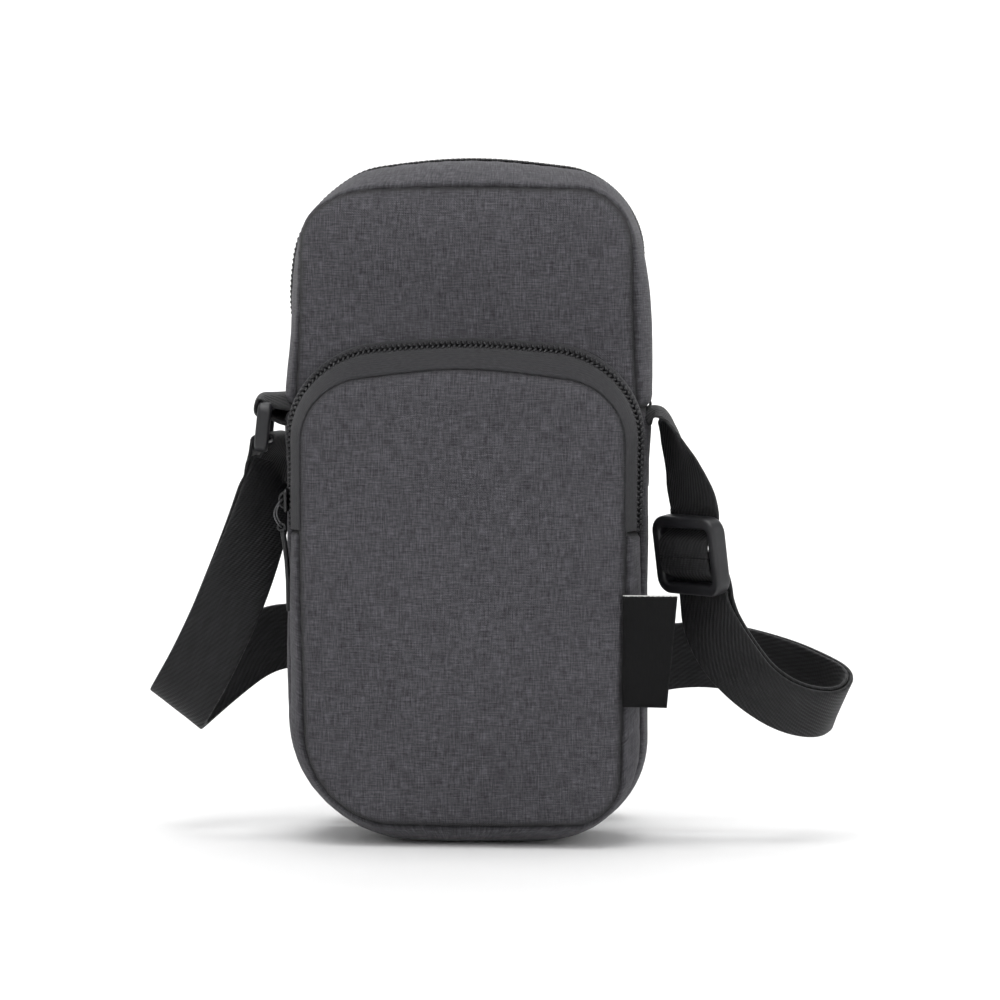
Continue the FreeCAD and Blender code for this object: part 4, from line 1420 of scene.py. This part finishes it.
    def ribbon(self, name: str, route: list, droop: tuple[float, ...] = (0.0,)) -> tuple[Piece, Array]:
        """Flat webbing along a route.

        Args:
            name: Name of the piece.
            route: Control points in metres, each with the direction of the webbing's width.
            droop: How far its edges hang below its middle at the first control points.

        Returns:
            The piece, and the points of its middle line in metres.
        """
        middle = self.spline([row[:3] for row in route])
        beside = self.spline([Vector(row[:3]) + Vector(row[3:]).normalized() * 0.01 for row in route])
        half, thick = self.width / 2, self.thickness / 2
        upper = [(half, 0.0), (half - 0.12, thick * 0.7), (half - 0.5, thick), (half * 0.5, thick * 0.92),
                 (0.0, thick * 0.96), (-half * 0.5, thick * 0.92), (0.5 - half, thick), (0.12 - half, thick * 0.7)]
        lower = [(-x, -y) for x, y in upper]
        section = np.tile(np.array(upper + lower), (len(middle), 1, 1))
        hang = np.interp(np.linspace(0, len(route) - 1, len(middle)), np.arange(len(droop) + 1), (*droop, 0.0))
        section[:, :, 1] += hang[:, None] * (section[:, :, 0] / half) ** 2
        return sweep(name, middle / MM, beside - middle, section, self.finishes.webbing), middle

    def hardware(self) -> None:
        """Make the ring and the strap slider with rounded edges."""
        coat = self.finishes.plastic
        loop = rounded_loop(*self.RING_LOOP, runs=10)
        path = np.stack((np.zeros(len(loop)), *loop.T), -1)
        ring = sweep("left_ring_moulding", path, np.array((1.0, 0.0, 0.0)), rounded_section(*self.RING_SECTION), coat,
                     closed=True)
        ring.data.transform(self.ring_frame)
        dress(ring, Body.RING.value, "left_ring")

        loop = rounded_loop(*self.GLIDE_LOOP, runs=10)
        path = np.stack((loop[:, 0], np.zeros(len(loop)), loop[:, 1]), -1)
        rim = sweep("rim", path, REARWARD, rounded_section(*self.GLIDE_SECTION), coat, closed=True)
        path = np.linspace((-self.BAR_HALF, 0.0, 0.0), (self.BAR_HALF, 0.0, 0.0), 12)
        bar = sweep("bar", path, REARWARD, rounded_section(*self.BAR_SECTION), coat)
        glide = joined("tri_glide_moulding", [rim, bar])
        glide.data.transform(self.glide_frame)
        dress(glide, Body.GLIDE.value, "tri_glide")

    def build(self) -> None:
        """Make the hardware and all the webbing."""
        self.hardware()
        tab, _ = self.ribbon("left_tab_webbing", self.in_ring(self.TAB), self.TAB_DROOP)
        dress(tab, Body.POUCH.value, "left_tab")
        root, _ = self.ribbon("strap_root_webbing", [*self.ROOT, *self.in_glide(self.GLIDE_IN)], self.ROOT_DROOP)
        dress(root, None, "strap_root")
        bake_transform(root)
        spacing = self.layer_spacing / 2 * MM
        for layer, sign, first, last in (("outer", 1, self.GLIDE_OUT, self.RING_OUTER),
                                         ("inner", -1, self.GLIDE_BACK, self.RING_INNER)):
            node = f"strap_{layer}_layer"
            route = self.in_glide(first) + self.shifted(self.RIGHT, spacing * sign)
            right, path = self.ribbon(f"{node}_right", route)
            self.declare(right, node)
            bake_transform(right)
            route = self.shifted(self.LEFT, spacing * sign) + self.in_ring(last)
            left, path = self.ribbon(f"{node}_left", route)
            self.declare(left, node)
            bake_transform(left)

    def declare(self, piece: Piece, node: str) -> None:
        """Hide the solid that a length of strap stands for, and leave the strap on no body.

        Args:
            piece: The webbing.
            node: Solid that it stands for.
        """
        dress(piece, None, node)


# Side label


@dataclass
class SideLabel:
    """Folded woven label in the right seam of the pocket."""

    finishes: Finishes
    root: float = 47.6
    tip: float = 62.0
    depth: float = -21.7
    middle: float = 58.9
    height: float = 33.0
    layer: float = 0.4
    gap: float = 0.4
    lean: float = 3.0
    bend: float = -1.1
    ripple: float = 0.5
    ripple_reach: float = 9.0

    def build(self) -> None:
        """Make the label."""
        away = (self.gap + self.layer) / 2
        turn = np.linspace(-math.pi / 2, math.pi / 2, 9)[1:-1]
        run = np.linspace(self.root, self.tip - away, 14)
        across = np.concatenate((run, self.tip - away + away * np.cos(turn), run[::-1]))
        depth = np.concatenate((np.full(14, -away), away * np.sin(turn), np.full(14, away))) + self.depth
        path = np.stack((across, depth, np.full(len(across), self.middle)), -1)
        levels = np.linspace(-self.height / 2, self.height / 2, 24)
        thick = self.layer / 2
        section = [(level, thick) for level in levels] + [(level, -thick) for level in levels[::-1]]
        piece = sweep("side_label_weave", path, UP, np.array(section), self.finishes.label)
        for vertex in piece.data.vertices:
            side, rear = self.curl(vertex.co.x / MM, vertex.co.z / MM - self.middle)
            vertex.co.x += side * MM
            vertex.co.y += rear * MM
        piece.data.update()
        dress(piece, Body.LABEL.value, "side_label")

    def curl(self, across: float, height: float) -> tuple[float, float]:
        """Lean and bend of a point of the label.

        Args:
            across: Its place across.
            height: Its height above the label's middle.

        Returns:
            How far it is moved to the right and to the rear.
        """
        share = max(0.0, (across - self.root) / (self.tip - self.root))
        bend = self.bend * share ** 2 * (0.5 - height / self.height)
        ripple = self.ripple * share * math.sin(height / self.ripple_reach)
        return share * self.lean * height / self.height, bend + ripple


# Studio


@dataclass
class Studio:
    """Pale floor, soft light and the camera, in metres."""

    target: Triple = (0.0096, 0.0, 0.102)
    azimuth: float = 4.5
    elevation: float = 3.5
    distance: float = 1.2
    field_width: float = 0.300
    sensor: float = 36.0
    ambient: float = 0.27

    # Name, place, side, power in watts and aim of each square light
    LIGHTS = (("key", (-0.1, -1.0, 1.9), 1.2, 8.5, None), ("fill", (1.7, -0.9, 0.8), 1.0, 4.5, None),
              ("top", (0.0, -0.1, 2.2), 1.4, 27.0, None), ("wash", (0.0, 1.2, 1.9), 1.6, 26.0, (0.0, 2.5, 0.5)))
    # Radius of the flat floor, radius of the cove's bend and height of its wall, in millimetres
    FLAT, BEND, WALL = 1600, 900, 3600.0

    @staticmethod
    def aim(thing: Piece, place: Vector, along: Vector) -> None:
        """Stand a light or the camera at a place, looking along a direction."""
        thing.location = place
        thing.rotation_euler = along.to_track_quat("-Z", "Y").to_euler()

    def floor(self) -> None:
        """Make the floor, which rises into a cove all round."""
        sheet = ShaderSheet("pale_floor")
        tone = sheet.ramp(sheet.noise((60.0, 60.0, 60.0)), (0.0, (0.86, 0.86, 0.86)), (1.0, (0.9, 0.9, 0.9)))
        sheet.finish(tone, sheet.noise((2.0, 2.0, 2.0)), relief=0.02, strength=0.1, Roughness=0.9)
        bend = np.linspace(0, math.pi / 2, 13)
        radii = np.concatenate(([0.001, 300.0, 900.0], self.FLAT + self.BEND * np.sin(bend), [self.FLAT + self.BEND]))
        rises = np.concatenate(([0.0, 0.0, 0.0], self.BEND - self.BEND * np.cos(bend), [self.WALL])) - 0.05
        angle = np.linspace(0, math.tau, 72, endpoint=False)[:, None]
        bowl = np.stack(np.broadcast_arrays(radii * np.cos(angle), radii * np.sin(angle), rises), -1)
        faces = [face[::-1] for face in grid_faces(len(angle), len(radii), closed=True)]
        floor = mesh_object("floor_cove", bowl, faces, sheet.material)

    def build(self) -> None:
        """Make the floor, the lights and the camera."""
        self.floor()
        scene, target = bpy.context.scene, Vector(self.target)
        scene.world = bpy.data.worlds.new("studio")
        scene.world.use_nodes = True
        colour, strength = scene.world.node_tree.nodes["Background"].inputs[:2]
        colour.default_value, strength.default_value = (1.0, 1.0, 1.0, 1.0), self.ambient
        scene.view_settings.view_transform = "Standard"
        for name, place, size, power, aim in self.LIGHTS:
            data = bpy.data.lights.new(name, "AREA")
            data.size, data.energy = size, power
            self.aim(shown(name, data), Vector(place), Vector(aim or self.target) - Vector(place))
        turn, lift = math.radians(self.azimuth), math.radians(self.elevation)
        back = Vector((math.sin(turn) * math.cos(lift), -math.cos(turn) * math.cos(lift), math.sin(lift)))
        data = bpy.data.cameras.new("camera")
        data.sensor_width = self.sensor
        data.lens = data.sensor_width * self.distance / self.field_width
        scene.camera = shown("camera", data)
        self.aim(scene.camera, target + back * self.distance, -back)


def main() -> None:
    """Build the studio and every sub-assembly in order."""
    logging.basicConfig(level=logging.INFO, format="%(name)s: %(message)s")
    Studio().build()
    finishes, teeth = Finishes(), TeethTree()
    Strap(finishes).build()
    MainCompartment(finishes, teeth).build()
    FrontPocket(finishes, teeth).build()
    SideLabel(finishes).build()


if __name__ == "__main__":
    main()
